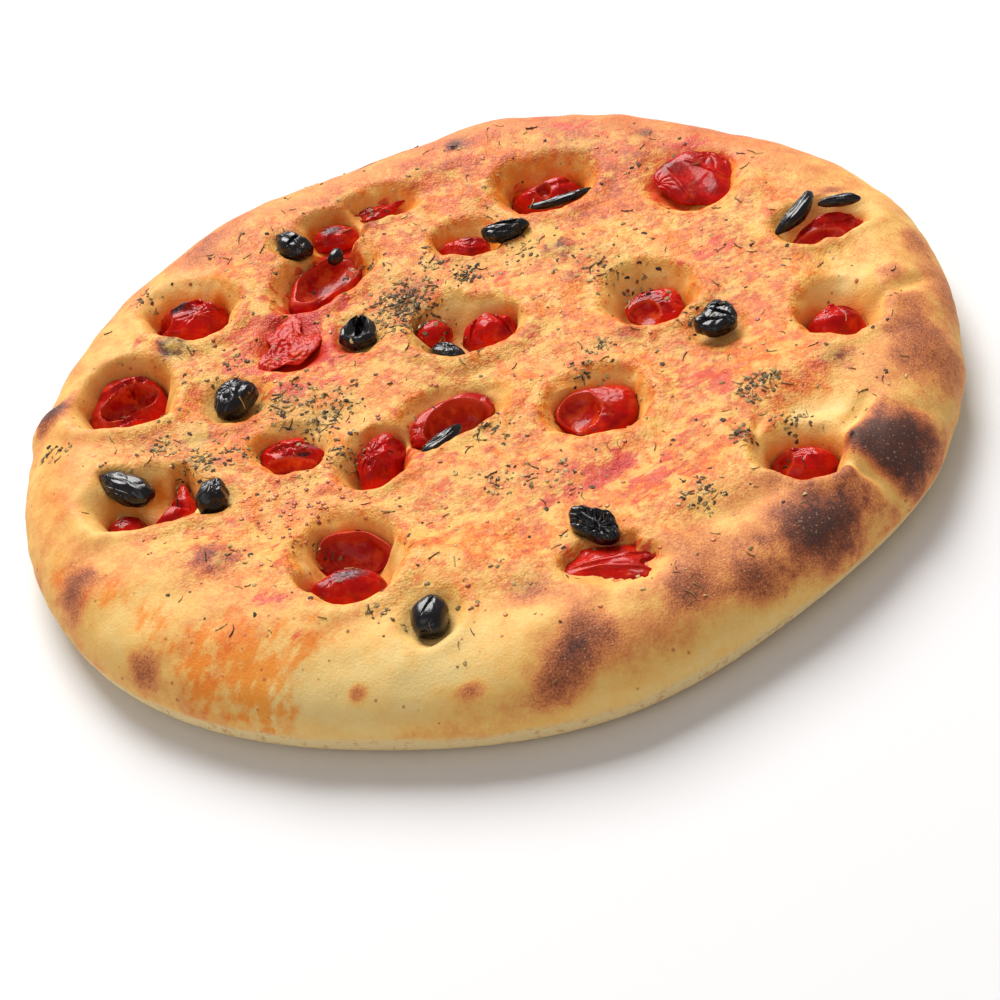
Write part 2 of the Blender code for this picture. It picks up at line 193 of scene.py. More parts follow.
def layered(below, *layers):
    """A colour with layers over it, each given as its share and its colour."""
    for share, tint in layers:
        below = blend(share, below, tint)
    return below


def soft_step(value, low, high, **more):
    """0 below low, 1 above high and a soft slope between."""
    return add_node(value.id_data, "ShaderNodeMapRange", {"interpolation_type": "SMOOTHSTEP"},
                    Value=value, From_Min=low, From_Max=high, **more).outputs[0]


def bumped(height, strength, distance):
    """The slightly tilted normals of a relief that is finer than the mesh."""
    return add_node(height.id_data, "ShaderNodeBump", Height=height, Strength=strength,
                    Distance=distance).outputs[0]


def painted(tree, mask):
    """A mask that is stored on the mesh's points."""
    return add_node(tree, "ShaderNodeAttribute", {"attribute_name": mask}).outputs["Fac"]


def colour_ramp(value, *stops):
    """A colour ramp over a value. Each stop is a place and a picture colour."""
    made = add_node(value.id_data, "ShaderNodeValToRGB", Fac=value)
    elements = made.color_ramp.elements
    while len(elements) < len(stops):
        elements.new(0.5)
    for stop, (spot, *tint) in zip(elements, stops):
        stop.position = spot
        stop.color = colour(*tint)
    return made.outputs[0]


def new_material(name):
    """A node material: its tree and its Principled shader."""
    made = bpy.data.materials.new(name)
    made.use_nodes = True
    return made, made.node_tree, made.node_tree.nodes["Principled BSDF"]


def finish_mesh(name, bm, surface, masks=None):
    """A bmesh in millimetres becomes a smooth object in metres, with its point masks."""
    bmesh.ops.scale(bm, vec=(MM, MM, MM), verts=bm.verts)
    mesh = bpy.data.meshes.new(name)
    bm.to_mesh(mesh)
    bm.free()
    mesh.shade_smooth()
    for mask, values in (masks or {}).items():
        layer = mesh.attributes.new(mask, "FLOAT", "POINT")
        layer.data.foreach_set("value", np.asarray(values, np.float32))
    made = bpy.data.objects.new(name, mesh)
    bpy.context.scene.collection.objects.link(made)
    mesh.materials.append(surface)
    return made


print("cream is", [round(v, 3) for v in colour(240, 214, 150)])

# %% [markdown]
# ## Three effects that the finishes share
# A patchy mask is a Noise texture whose middle range is stretched to 0 and 1. Streaks
# are the same noise drawn out along one direction. Dots are the middles of Voronoi
# cells, with only some of the cells kept. They are node groups with named inputs, so
# that dough, tomato and olive each use them at their own scale. A ready-made image
# would be quicker, but it has one size and one pattern for ever.


# %% The patchy, streaky and dotted masks
def new_group(name, inputs):
    """A new node group, the object's coordinates in it, its inputs and its result."""
    group = bpy.data.node_groups.new(name, "ShaderNodeTree")
    for socket, value in inputs.items():
        made = group.interface.new_socket(socket, in_out="INPUT", socket_type="NodeSocketFloat")
        made.default_value = value
    group.interface.new_socket("Mask", in_out="OUTPUT", socket_type="NodeSocketFloat")
    given = group.nodes.new("NodeGroupInput").outputs
    result = group.nodes.new("NodeGroupOutput").inputs["Mask"]
    return group, add_node(group, "ShaderNodeTexCoord").outputs["Object"], given, result


patchy, place, given, result = new_group(
    "patchy mask", {"Size mm": 8.0, "Detail": 3.0, "From": 0.4, "To": 0.6, "Seed": 0.0})
cloud = add_node(patchy, "ShaderNodeTexNoise", {"noise_dimensions": "4D"}, Vector=place,
                 W=given["Seed"], Detail=given["Detail"], Roughness=0.55,
                 Scale=divide(1 / MM, given["Size mm"]))
feed(result, soft_step(cloud.outputs[0], given["From"], given["To"]))

streaky, place, given, result = new_group(
    "streaky mask", {"Size mm": 2.0, "Length": 4.0, "Turn": 0.35, "From": 0.4, "To": 0.6})
turned = add_node(streaky, "ShaderNodeVectorRotate", {"rotation_type": "Z_AXIS"}, Vector=place,
                  Angle=times(given["Turn"], -1.0))
squash = add_node(streaky, "ShaderNodeCombineXYZ", Y=1.0, Z=1.0, X=divide(1.0, given["Length"]))
longer = add_node(streaky, "ShaderNodeVectorMath", {"operation": "MULTIPLY"})
feed(longer.inputs[0], turned.outputs[0])
feed(longer.inputs[1], squash.outputs[0])
cloud = add_node(streaky, "ShaderNodeTexNoise", Vector=longer.outputs[0], Detail=4.0,
                 Scale=divide(1 / MM, given["Size mm"]))
feed(result, soft_step(cloud.outputs[0], given["From"], given["To"]))

dotted, place, given, result = new_group(
    "dotted mask", {"Spacing mm": 4.0, "Radius": 0.15, "Share": 0.5})
cells = add_node(dotted, "ShaderNodeTexVoronoi", Vector=place,
                 Scale=divide(1 / MM, given["Spacing mm"]))
chance = add_node(dotted, "ShaderNodeSeparateColor", Color=cells.outputs["Color"])
kept = calculate("LESS_THAN", chance.outputs[0], given["Share"])
edge_at = times(given["Radius"], plus(chance.outputs[1], 0.4))
near = minus(1.0, divide(cells.outputs["Distance"], edge_at), clamp=True)
feed(result, times(times(near, 2.2, clamp=True), kept))


def mask_of(tree, group, **inputs):
    """One of the groups placed in a material, with its own values."""
    return add_node(tree, "ShaderNodeGroup", {"node_tree": group}, **inputs).outputs[0]


def patches(tree, size, detail, low, high, seed):
    """The patchy mask, with its inputs in their order."""
    return mask_of(tree, patchy, Size_mm=size, Detail=detail, From=low, To=high, Seed=seed)


print("node groups", [g.name for g in bpy.data.node_groups])

# %% [markdown]
# ## The table, and light from a north window
# The floor is plain and pale. The photograph has soft light from behind the loaf and a
# broad soft shadow in front of it, as a large window with a white wall opposite gives.
# So one large area light is the window, a weaker one is the wall, and the world is a
# dim white that keeps the shadow from going black.

# %% Floor and lights
bm = bmesh.new()
bmesh.ops.create_grid(bm, x_segments=2, y_segments=2, size=4000.0)
white, tree, shader = new_material("matt white table")
haze = patches(tree, 900.0, 1.0, 0.2, 0.8, 3.0)
fill(shader, Base_Color=blend(haze, (0.85, 0.85, 0.86, 1), (0.88, 0.88, 0.885, 1)),
     Roughness=0.8)
floor = finish_mesh("floor", bm, white)
floor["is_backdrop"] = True


def area_light(name, spot, size, power, tint=(1, 1, 1)):
    """A square soft light at spot, in metres, that faces the loaf."""
    lamp = bpy.data.lights.new(name, "AREA")
    lamp.size = size
    lamp.energy = power
    lamp.color = tint
    made = bpy.data.objects.new(name, lamp)
    made.location = spot
    made.rotation_euler = (-Vector(spot)).to_track_quat("-Z", "Y").to_euler()
    bpy.context.scene.collection.objects.link(made)


area_light("window", (-0.62, 4.35, 4.17), 3.7, 500.0, (1.0, 0.995, 0.98))
area_light("wall", (-3.0, -3.8, 3.8), 3.8, 42.0)
world = bpy.data.worlds.new("room")
world.use_nodes = True
fill(world.node_tree.nodes["Background"], Color=(1.0, 0.94, 0.93, 1), Strength=0.30)
bpy.context.scene.world = world
bpy.context.scene.view_settings.view_transform = "Standard"

# %% [markdown]
# ## What the loaf is made of, in numbers
# The dough's shape is a recipe: an outline that waves slowly, a rim in section, soft
# swellings where gas bubbles rose, and finger dimples. The CAD part uses the same
# numbers with larger facets, so the fine loaf made here fits it.

# %% The recipe's numbers, in millimetres and degrees
RADIUS = 171.7
OVAL = {2: (3.8, 6.3), 3: (-0.2, 0.4), 5: (0.9, -0.5), 6: (-0.8, 0.4), 7: (-1.1, 0.3)}
WAIST, CREST, MIDDLE = 13.0, 34.0, 30.5
TOP_ROUND, FRONT_ROUND, UNDER_ROUND = 34.0, 8.0, 11.0
CREASE, LIP = 0.7, 1.6
# The fine mesh holds steeper dimple walls than the CAD's large facets do.
CRISPER = 1.2
# Folds between the burnt bulges: x, y, half length, half width, turn, depth
FOLDS = rows_of("""
    120 -97 19 3.6 -45 4.6; 121 -73 13 3 50 3.6; 155 -5 14 3.2 28 2.6; 141 28 5 2.6 84 2;
    133 27 5 2.6 96 1.6; 88 -72 9 2.4 74 2.6; 84 -104 16 4.5 18 1.4; 27 -133 15 4 60 1.2;
    146 -70 10 3 10 1.4
""")

# x, y, height, reach in x, reach in y, turn
SWELLS = rows_of("""
    134 -86 4.5 15 22 -28; 98 -121 3.6 25 16 35; -163 29 4.5 8 7 0; -114 51 2.6 6 5 0;
    16 -150 1.6 17 14 0; 52 -138 1.4 15 12 0; -107 -75 1.5 9 8 0; -154 -75 1.6 11 12 0;
    36 64 1.6 8 7 0; 151 -30 2.4 15 24 0; 123 -35 1.5 9 8 0; -84 121 1.8 18 14 40;
    -34 -103 1.8 20 16 0; 4 -60 1.8 22 18 0; 84 -46 2 20 18 0; 44 2 1.2 16 12 0;
    -95 -52 1 14 12 0; -92 -104 1.6 20 16 0; 62 62 1.8 18 16 0; 70 126 1.6 18 10 0;
    -100 96 -3.4 13 10 0; -58 -8 -3 13 9 0; 137 14 -4 12 13 0; 113 -62 -4 15 13 0;
    -110 -10 -2 16 9 0; -8 120 -4 18 8 8; -22 47 -2.4 14 10 0; -4 -2 -2.8 16 8 22;
    146 -112 -2 7 10 -40; 60 -108 -1.6 12 8 0
""")

# x, y, reach in x, reach in y, turn, depth, steepness
DIMPLES = rows_of("""
    -59 -90.5 15 20 0 15 7; 37 -33 15.5 15 -8 14 7; 66 24 14 15 0 15.5 7;
    131 -11 12.5 14.5 0 14.5 7; 101 -84 12.4 12.6 0 15 7; 39 107 15.6 14.5 0 14.5 7;
    95 88 16.5 16.5 33 4.6 6; 136 44 15.5 10 6 10 6; 5 84 11.5 9.8 0 9.5 6;
    -3 29 16.5 14.5 -12 14.5 7; -45 -37 10.2 14 -15 13.5 6; -16 -21 18 11.5 22 13 6;
    -74 -21.5 11.8 11.5 -11 11 6; -128 -36 18 14 -12 15 7; -133 26 15.5 16 20 17 7;
    -105 71.5 14.5 16 14 14.5 7; -54 77 18.5 12 39 14 6; -47 105 11 9.5 0 10.5 6;
    -27 116 14 8 12 7.5 6; -69 39 14.5 11.5 73 4 5; -92 13 12 10 52 6.5 5;
    -103 -44 8.8 7.8 60 4 5; -35 -129 10.5 8.8 72 5.5 5; 26 -103 12 8 -62 2.5 5;
    87 -4 10 8.8 60 2.5 5; -43 38 10.5 8.8 79 3.5 5; -62 100 9 7 -50 4.5 5;
    29 -121 16.5 11 -18 3.6 5
""")
print(len(SWELLS), "swellings and", len(DIMPLES), "dimples")


# %% [markdown]
# ## Tomatoes and olives first
# Each topping is a ball that the oven has pushed about: a roasted half tomato is a
# flattened dome or an open cup, a torn skin is nearly flat, and a dried olive is an
# egg. A sculptor would pull these from a ball by hand. Here an icosphere's points are
# moved by formulas, which an artist can repeat and change. They come before the dough,
# because the dough has to give way under them.

# %% Noise on many points at once
def shift_of(seed):
    """Where in the noise a seed looks."""
    return Vector((seed * 7.13, seed * 3.71, seed * 5.37))


def cloudy(points, size, seed=0.0):
    """Smooth noise from -1 to 1 at each point. Size is the blobs' width."""
    shift = shift_of(seed)
    return np.array([noise.noise(Vector(p) / size + shift) for p in points])


def creased(points, size, seed=0.0):
    """Narrow valleys between broad folds: 0 in a fold's middle, 1 along a crease."""
    return limit(1 - np.abs(cloudy(points, size, seed)) * 2.2) ** 2.5


def dented(points, size, seed=0.0):
    """Dents between sharp ridges, as in crumpled foil: 0 on a ridge, 1 in a dent."""
    shift = shift_of(seed)
    near = [noise.voronoi(Vector(p) / size + shift)[0] for p in points]
    return np.array([min(1.0, 1.7 * (second - first)) for first, second, *_ in near])


def reach(x, y, row_x, row_y, size_x, size_y, turn):
    """How far (x, y) lies from a turned ellipse's centre, where 1 is its edge."""
    cosine = math.cos(math.radians(turn))
    sine = math.sin(math.radians(turn))
    along = (x - row_x) * cosine + (y - row_y) * sine
    across = (y - row_y) * cosine - (x - row_x) * sine
    return np.sqrt((along / size_x) ** 2 + (across / size_y) ** 2)


print("noise at the middle", float(cloudy([(0.5, 0.5, 0.5)], 1.0)[0]))

# %% [markdown]
# ### The shapes of the toppings
# The CAD node gives each topping its place and its size through its box, so the table
# below holds only its form: what kind it is, how it is turned and leant, how it bends,
# and how wrinkled it is.

# %% One row for each topping
# name, form, length, width, height, turn, lean, bend, wrinkles
TOPPINGS = rows_of("""
    tomato_01 skin 22 9 4 12 0 1 0.7; tomato_02 dome 20 14 9 -3 0 0 0.6;
    tomato_03 cup 37 22 12 42 12 0 0.25; tomato_04 skin 32 25 5 73 0 0 0.45;
    tomato_05 dome 31 22 18 14 12 0 0.9; tomato_06 dome 34 28 16 27 20 0 1.2;
    tomato_07 dome 15 13 9 -18 0 0 0.35; tomato_08 dome 28 11.5 13.5 60 0 7 0.3;
    tomato_09 dome 25 17 9 -11 14 0 1; tomato_10 dome 27 18 15 66 0 1 1;
    tomato_11 cup 36 18 13 22 24 -2 0.35; tomato_12 cup 29 19 12 -14 22 0 0.1;
    tomato_13 dome 31 17 14 8 0 0 0.5; tomato_14 dome 22 12 8 -3 0 0 0.5;
    tomato_15 dome 31 16 13 5 0 1.5 0.6; tomato_16 dome 15 13 11 5 0 0 0.25;
    tomato_17 dome 23 18 14.5 -3 0 0 0.6; tomato_18 cup 23 18 11 -3 12 0 0.6;
    tomato_19 cup 33 31 7 33 11 0 0.22; tomato_20 cup 30 14 14 6 28 0 0.5;
    tomato_21 dome 25 18 15 12 0 0 0.35; tomato_22 cup 32 23 16 -6 12 0 0.3;
    tomato_23 dome 26 18 14 -3 0 0 0.6; tomato_24 skin 31 20 5 -18 0 0 0.25;
    olive_01 olive 20 12 10.5 -50 0 1 1; olive_02 olive 9 6 6 60 0 0 0.7;
    olive_03 open 20 15 10 79 0 0 0.8; olive_04 olive 21 16 13 52 0 0 1;
    olive_05 olive 27 12.5 11.5 -44 0 0 0.6; olive_06 olive 15 12.5 13.5 64 0 0 0.8;
    olive_07 olive 18 14 13 72 0 0 0.35; olive_08 open 24 14 8 -62 0 0 0.5;
    olive_09 open 20 16 11 60 0 0 0.9; olive_10 olive 21 10.5 8 5 0 1 1.1;
    olive_11 strip 29 4.5 4 8 0 2 0.5; olive_12 strip 24 7.5 7 40 12 2 0.5;
    olive_13 strip 18 5.5 5 -5 0 -1 0.5; olive_14 olive 15 9 6 -32 0 0 0.9;
    olive_15 strip 21 6.5 5 37 0 1 0.5
""")
print(len(TOPPINGS), "toppings")


# %% [markdown]
# ### Hollows, lobes and stars
# A roasted half tomato collapses in its own way. Its features are listed in the plan of
# the unit ball, where 1 is the edge: a hollow is a cut or sunken face, a lobe is a bulge
# or a fold, a star is where creases run together, a notch draws the outline in or, below
# zero, out to a tip. Ridges run along an olive, rays run out from a middle, pulp is
# crushed flesh without skin, and a scorch is a burnt mark.

# %% Features of single toppings: kind, u, v, reach along u, reach along v, amount, turn
FEATURES = tables_of("""
    tomato_01: lobe 0.2 0 0.8 0.15 0.4; notch -0.9 0.3 0.3 0.4 -0.2 |
    tomato_02: star -0.1 0 0.9 0.9 0.8; scorch -0.05 0.05 0.42 0.36 0.9;
        pulp 0.5 -0.2 0.6 0.7 0.6 |
    tomato_03: hollow 0.12 0.05 0.92 0.8 0.66; lobe -0.4 -0.78 0.6 0.16 0.34 6;
        star -0.5 -0.75 0.5 0.3 0.7; notch 1 0.2 0.4 0.4 -0.12 |
    tomato_04: pulp 0 0 3 3 0.5; lobe 0.4 0.2 0.3 0.3 0.5; lobe -0.3 -0.3 0.35 0.3 0.5;
        lobe -0.1 0.55 0.3 0.25 0.5; lobe 0.1 -0.1 0.2 0.2 0.4; lobe 0.6 -0.4 0.25 0.2 0.4;
        notch 0.9 -0.6 0.5 0.4 0.2; notch -0.2 1 0.4 0.3 0.24; star 0.3 -0.3 0.8 0.8 0.8;
        star -0.5 0.3 0.6 0.6 0.8 |
    tomato_05: lobe 0.1 0.5 0.75 0.13 0.22 8; hollow -0.72 0.25 0.28 0.4 0.4;
        star 0.25 -0.1 0.8 0.8 1.3; lobe 0.62 0.1 0.13 0.6 0.14 10;
        scorch -0.15 0.42 0.32 0.09 1 24 |
    tomato_06: hollow -0.02 -0.02 0.72 0.42 0.62; lobe 0.25 0.55 0.6 0.12 0.3 -6;
        lobe 0.3 0.3 0.07 0.4 0.45 -20; lobe 0.1 0.34 0.06 0.34 0.35 14;
        lobe -0.45 -0.66 0.5 0.14 0.3 -14; star -0.45 -0.66 0.6 0.4 1.3; star 0.55 0.45 0.6 0.5 1;
        scorch 0.62 0.55 0.2 0.16 0.5 |
    tomato_07: star 0.1 0.1 0.9 0.9 0.5 |
    tomato_08: star 0.3 0.1 1 1 0.7; lobe -0.05 0 0.14 0.9 -0.2; lobe 0.65 0.1 0.35 0.7 0.1 |
    tomato_09: lobe -0.15 0.42 0.75 0.16 0.3 10; star -0.3 0.35 0.8 0.5 1.6;
        hollow 0 -0.78 1 0.42 0.45; hollow 0.42 -0.12 0.24 0.17 0.45;
        scorch 0.42 -0.12 0.2 0.12 0.9; scorch 0.75 0.4 0.16 0.3 0.7 |
    tomato_10: star -0.2 0.2 1 1 1.2; lobe 0.5 -0.1 0.35 0.4 0.2; lobe -0.3 -0.2 0.1 0.5 0.16 30 |
    tomato_11: hollow 0.05 -0.5 0.76 1.2 0.84; lobe -0.84 -0.2 0.22 0.6 0.16;
        lobe 0.8 -0.2 0.16 0.8 0.2 -14; star 0.85 -0.2 0.25 0.7 1.1; star -0.85 0 0.3 0.8 0.9 |
    tomato_12: hollow 0 -0.5 1.02 1.36 0.86 |
    tomato_13: star 0.1 0.1 0.9 0.9 0.8; lobe -0.6 -0.1 0.3 0.5 0.12;
        scorch 0.2 0.15 0.44 0.36 0.9 10 |
    tomato_14: star -0.2 0 1 1 0.9; lobe 0.1 0.3 0.3 0.3 0.25; lobe -0.55 0 0.3 0.4 0.2 |
    tomato_15: lobe 0.25 0.35 0.42 0.3 0.35; lobe 0.32 0 0.05 0.6 0.2;
        hollow -0.08 -0.1 0.2 0.5 0.3; lobe -0.6 -0.2 0.3 0.4 0.15; star -0.6 -0.1 0.5 0.5 0.7 |
    tomato_16: star 0.4 0.3 0.6 0.6 0.3; lobe 0.35 -0.1 0.07 0.7 0.12 |
    tomato_17: lobe -0.05 -0.35 0.46 0.55 0.14; lobe -0.02 0.45 0.26 0.26 0.1;
        lobe 0.44 -0.1 0.08 0.7 -0.2 20; lobe -0.5 -0.1 0.08 0.7 -0.18 -16;
        lobe 0.7 0.1 0.3 0.4 0.12; star 0.05 0.45 0.4 0.3 0.7 |
    tomato_18: hollow -0.36 -0.34 0.5 0.62 0.4; lobe 0.5 0.1 0.4 0.5 0.18;
        lobe 0.05 -0.1 0.07 0.8 0.12 24; star 0.45 0.1 0.6 0.7 1.4; pulp 0.55 0.4 0.3 0.5 0.6;
        star -0.35 0.5 0.5 0.3 0.8 |
    tomato_19: lobe -0.1 -0.05 0.5 0.95 -0.12 -14; pulp 0.8 0.3 0.3 0.7 0.4;
        lobe -0.55 0 0.07 0.8 0.3 -14; lobe 0.36 -0.05 0.06 0.8 0.25 16;
        star 0.75 0.3 0.45 0.8 0.8; star -0.85 0.4 0.4 0.6 0.7; notch -0.2 -1 0.4 0.3 -0.1;
        notch 1 0.7 0.4 0.3 0.12 |
    tomato_20: hollow -0.35 -0.5 0.7 0.7 0.22; lobe 0.25 -0.1 0.05 0.9 0.2 12;
        lobe 0.62 0 0.06 0.9 0.22 -8; lobe 0.35 0.75 0.9 0.4 0.6; lobe -0.15 0 0.05 0.8 0.2 -12;
        star 0.7 0.6 0.9 0.9 0.7; notch -1 -0.1 0.4 0.4 -0.15 |
    tomato_21: star 0.2 0.2 0.9 0.9 0.8; lobe 0.1 0.55 0.17 0.18 0.1;
        hollow 0.55 0.3 0.35 0.18 0.14 -30 |
    tomato_22: pulp 0.3 0.2 0.7 0.8 0.35; hollow -0.42 -0.12 0.5 0.72 0.42;
        lobe 0.42 0.1 0.45 0.62 0.2; lobe 0.12 0.1 0.07 0.75 0.16 28; star 0.35 0.3 0.6 0.5 0.8 |
    tomato_23: hollow -0.62 -0.05 0.34 0.6 0.4; star 0.25 0.2 0.8 0.8 0.9;
        lobe -0.22 0.4 0.16 0.16 0.1; lobe 0.45 0.1 0.4 0.5 0.1 |
    tomato_24: pulp 0 0 3 3 0.15; notch 1 0.5 0.4 0.34 -0.34; notch 0.85 -0.75 0.4 0.34 -0.28;
        notch 1 -0.1 0.34 0.28 0.3; notch -1 0.1 0.5 0.4 -0.16; notch 0 1 0.4 0.3 0.18;
        lobe -0.1 -0.1 0.9 0.1 0.22 24; lobe 0.1 -0.45 0.8 0.08 0.2 6;
        lobe 0.5 0.3 0.5 0.08 0.2 30 |
    olive_01: notch 0.15 0.9 0.3 0.5 0.2; lobe 0.15 0 0.12 0.8 -0.25; ridges 0 0 1 1 0.06 |
    olive_03: notch 1 0 0.5 0.22 0.4; hollow 0.15 0 0.55 0.2 0.5; notch -0.9 0.7 0.5 0.5 0.18;
        notch -0.9 -0.7 0.5 0.5 0.18; lobe 0.2 0.5 0.5 0.3 0.2; lobe 0.2 -0.5 0.5 0.3 0.2 |
    olive_04: star 0 0.1 0.8 0.8 1.4 |
    olive_05: ridges 0 0 1 1 0.11; star -0.8 0.2 0.4 0.5 1 |
    olive_06: star 0.1 0 0.9 0.9 1.6; notch 0.2 -1 0.3 0.5 0.15 |
    olive_07: lobe 0.05 0 0.07 0.7 -0.16 70 |
    olive_08: notch 1 0 0.5 0.5 -0.1; notch -1 0 0.5 0.5 -0.14; rays 0 0 1.1 1.1 0.26;
        lobe 0 0 0.75 0.1 0.3 |
    olive_09: lobe -0.45 -0.1 0.1 0.8 -0.28 12; lobe 0.02 -0.2 0.09 0.8 -0.34 -8;
        lobe 0.42 0 0.08 0.7 -0.26 10; lobe -0.6 0.6 0.35 0.3 0.22; notch 0.05 1 0.2 0.4 0.24;
        notch 0.8 0.7 0.4 0.4 -0.1; notch -0.8 0.7 0.4 0.4 -0.08; star 0.1 -0.2 0.8 0.8 0.8 |
    olive_10: hollow 0 0.2 0.7 0.14 0.3; ridges 0 0 1 1 0.07 |
    olive_11: ridges 0 0 1 1 0.08 |
    olive_12: ridges 0 0 1 1 0.1; notch 1 0 0.35 0.9 -0.14 |
    olive_13: ridges 0 0 1 1 0.08 |
    olive_14: star 0 0 0.9 0.9 1.2; ridges 0 0 1 1 0.08 |
    olive_15: ridges 0 0 1 1 0.12
""")
print(len(FEATURES), "toppings have features of their own")


# %% [markdown]
# ### From a ball to a roasted fruit
# The form sets the large shape: a dome is fuller above than below, a skin is nearly
# flat and torn at its edge, and an open olive narrows to a point. Then the features
# press or lift the upper side. The mask "flesh" marks each cut face, for the material.

# %% Large forms
def fruit_form(unit, form, length, width, height, bend, phase):
    """Points from a unit ball: length along x, resting on z = 0."""
    ux, uy, uz = unit
    turn = np.arctan2(uy, ux)
    flat = np.sqrt(ux**2 + uy**2)
    up_side = np.clip(uz, 0, None)
    down_side = np.clip(-uz, 0, None)
    ripple = 1 + 0.05 * flat * np.cos(3 * turn + phase) + 0.035 * flat * np.cos(5 * turn - phase)
    if form == "dome":
        z = height * (0.34 + 0.66 * up_side - 0.34 * down_side)
    elif form == "cup":
        z = height * (0.55 + 0.45 * up_side**0.6 - 0.55 * down_side)
    elif form == "skin":
        ripple = 1 + 0.16 * flat * np.cos(3 * turn + phase) + 0.1 * flat * np.cos(5 * turn)
        ripple = ripple + 0.02 * flat * np.cos(9 * turn + 2 * phase)
        wave = 0.18 * np.sin(2.3 * ux + phase) * np.cos(2.9 * uy)
        z = height * (0.42 + 0.4 * uz + wave)
    elif form == "open":
        z = height * (0.5 + 0.5 * np.sign(uz) * np.abs(uz) ** 0.6)
    else:
        z = height * (0.5 + 0.5 * uz)
    x = ux * length / 2 * ripple
    y = uy * width / 2 * ripple
    if form == "open":
        y = y * (1 - 0.28 * ux)
    y = y + bend * (ux**2 - 0.4)
    return np.stack((x, y, z), axis=1)


def add_features(points, unit, name, form, height, size, seed):
    """Presses hollows, lifts lobes and gathers creases. Returns the points and their masks."""
    ux, uy, uz = unit
    flesh, scorch, matte, rim = (np.zeros(len(ux)) for _ in range(4))
    upper = limit(uz * 4)
    rows = list(FEATURES.get(name, ()))
    if form == "open" and name != "olive_09":
        rows.append(("hollow", 0.0, 0.0, 0.72, 0.66, 0.4))
    wobble = 0.10 * cloudy(unit.T, 0.5, seed + 40)
    for kind, u, v, along, across, amount, *turned in rows:
        away = reach(ux, uy, u, v, along, across, turned[0] if turned else 0) + wobble
        inside = limit(1 - away**2)
        angle = np.arctan2(uy - v, ux - u)
        if kind == "hollow":
            pressed = inside**0.5 * amount * height * upper
            points[:, 2] = np.maximum(points[:, 2] - pressed, height * 0.10)
            flesh = np.maximum(flesh, limit(inside * 4) * upper)
            rim = np.maximum(rim, np.exp(-(((away - 1.0) / 0.08) ** 2)) * upper)
        elif kind == "lobe":
            points[:, 2] += amount * height * inside**1.5 * upper
        elif kind == "notch":
            points[:, :2] *= (1 - amount * inside)[:, None]
        elif kind == "ridges":
            around_it = np.arctan2(uz, uy) + 0.5 * cloudy(unit.T, 0.7, seed + 60)
            wave = (0.6 - np.abs(np.sin(5.5 * around_it)) ** 0.6) * np.sqrt(1 - ux**2)
            points[:, 1] *= 1 + amount * wave
            points[:, 2] = height / 2 + (points[:, 2] - height / 2) * (1 + amount * wave)
        elif kind == "rays":
            wave = np.abs(np.sin(7.5 * angle + 2.0 * cloudy(unit.T, 0.6, seed + 70)))
            points[:, 2] -= amount * height * (1 - wave) ** 1.5 * inside**0.5 * upper
        elif kind == "star":
            spokes = np.abs(np.sin(4.5 * angle + 2.2 * cloudy(unit.T, 0.7, seed + 50)))
            crease = (1 - spokes) ** 3 * limit(away * 4) * inside
            points[:, 2] -= 0.035 * size * amount * crease * upper
            points[:, 2] -= 0.03 * size * amount * np.exp(-((away / 0.16) ** 2)) * upper
        elif kind == "pulp":
            matte = np.maximum(matte, amount * limit(inside * 2))
            flesh = np.maximum(flesh, amount * limit(inside * 2))
        else:
            ragged = limit(1.3 - away + 1.6 * wobble)
            scorch = np.maximum(scorch, amount * ragged**0.7 * upper)
    return points, {"flesh": flesh, "scorch": scorch, "matte": matte, "rim": rim}


def wrinkled(points, form, amount, seed, size):
    """How far the skin moves out or in: lumps, folds, and dents between sharp ridges."""
    if form in ("olive", "open", "strip"):
        stretched = points * np.array((0.34, 1.0, 1.0))
        long_folds = creased(stretched, 4.4, seed)
        dents = dented(stretched, 3.8, seed + 5)
        lumps = cloudy(points, 6.0, seed + 9)
        return amount * (0.5 * lumps - 0.45 * long_folds - 0.50 * dents)
    stretched = points * np.array((0.75, 1.0, 1.0))
    folds = creased(stretched, 0.34 * size, seed)
    dents = dented(stretched, 0.36 * size, seed + 3)
    lumps = cloudy(points, 0.5 * size, seed + 11)
    return amount * (0.7 * lumps - 0.35 * folds - 1.15 * dents)


dome_top = fruit_form(np.array([[0.0], [0.0], [1.0]]), "dome", 20, 20, 10, 0, 0)[0]
print("a dome rises", dome_top[2], "mm")


# %% [markdown]
# ### Making each topping and seating it in its CAD box
# The ball gets its form, its wrinkles, its lean and its turn. Then its own box is
# matched to the CAD node's box, corner to corner, so that place and size come from the
# frame and not from a second list of positions. Lobes that would rise over the form's
# own top are rounded off first, or a narrow lobe would take all of the box's height.

# %% Build a topping
ROUND_FROM, ROUND_OVER = 0.80, 0.20  # Lobes are rounded off over the top's last fifth.
LARGE_FRUIT = 130  # Length times width, in square millimetres, that needs a finer ball.


def into_box(bm, node):
    """Moves and scales a shape in millimetres until its box is the CAD node's box."""
    low, high = (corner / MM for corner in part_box(node))
    points = np.array([v.co for v in bm.verts])
    own_low, own_high = points.min(0), points.max(0)
    grow = (np.array(high) - np.array(low)) / (own_high - own_low)
    bmesh.ops.translate(bm, verts=bm.verts, vec=-Vector(own_low))
    bmesh.ops.scale(bm, verts=bm.verts, vec=grow)
    bmesh.ops.translate(bm, verts=bm.verts, vec=low)
    return grow


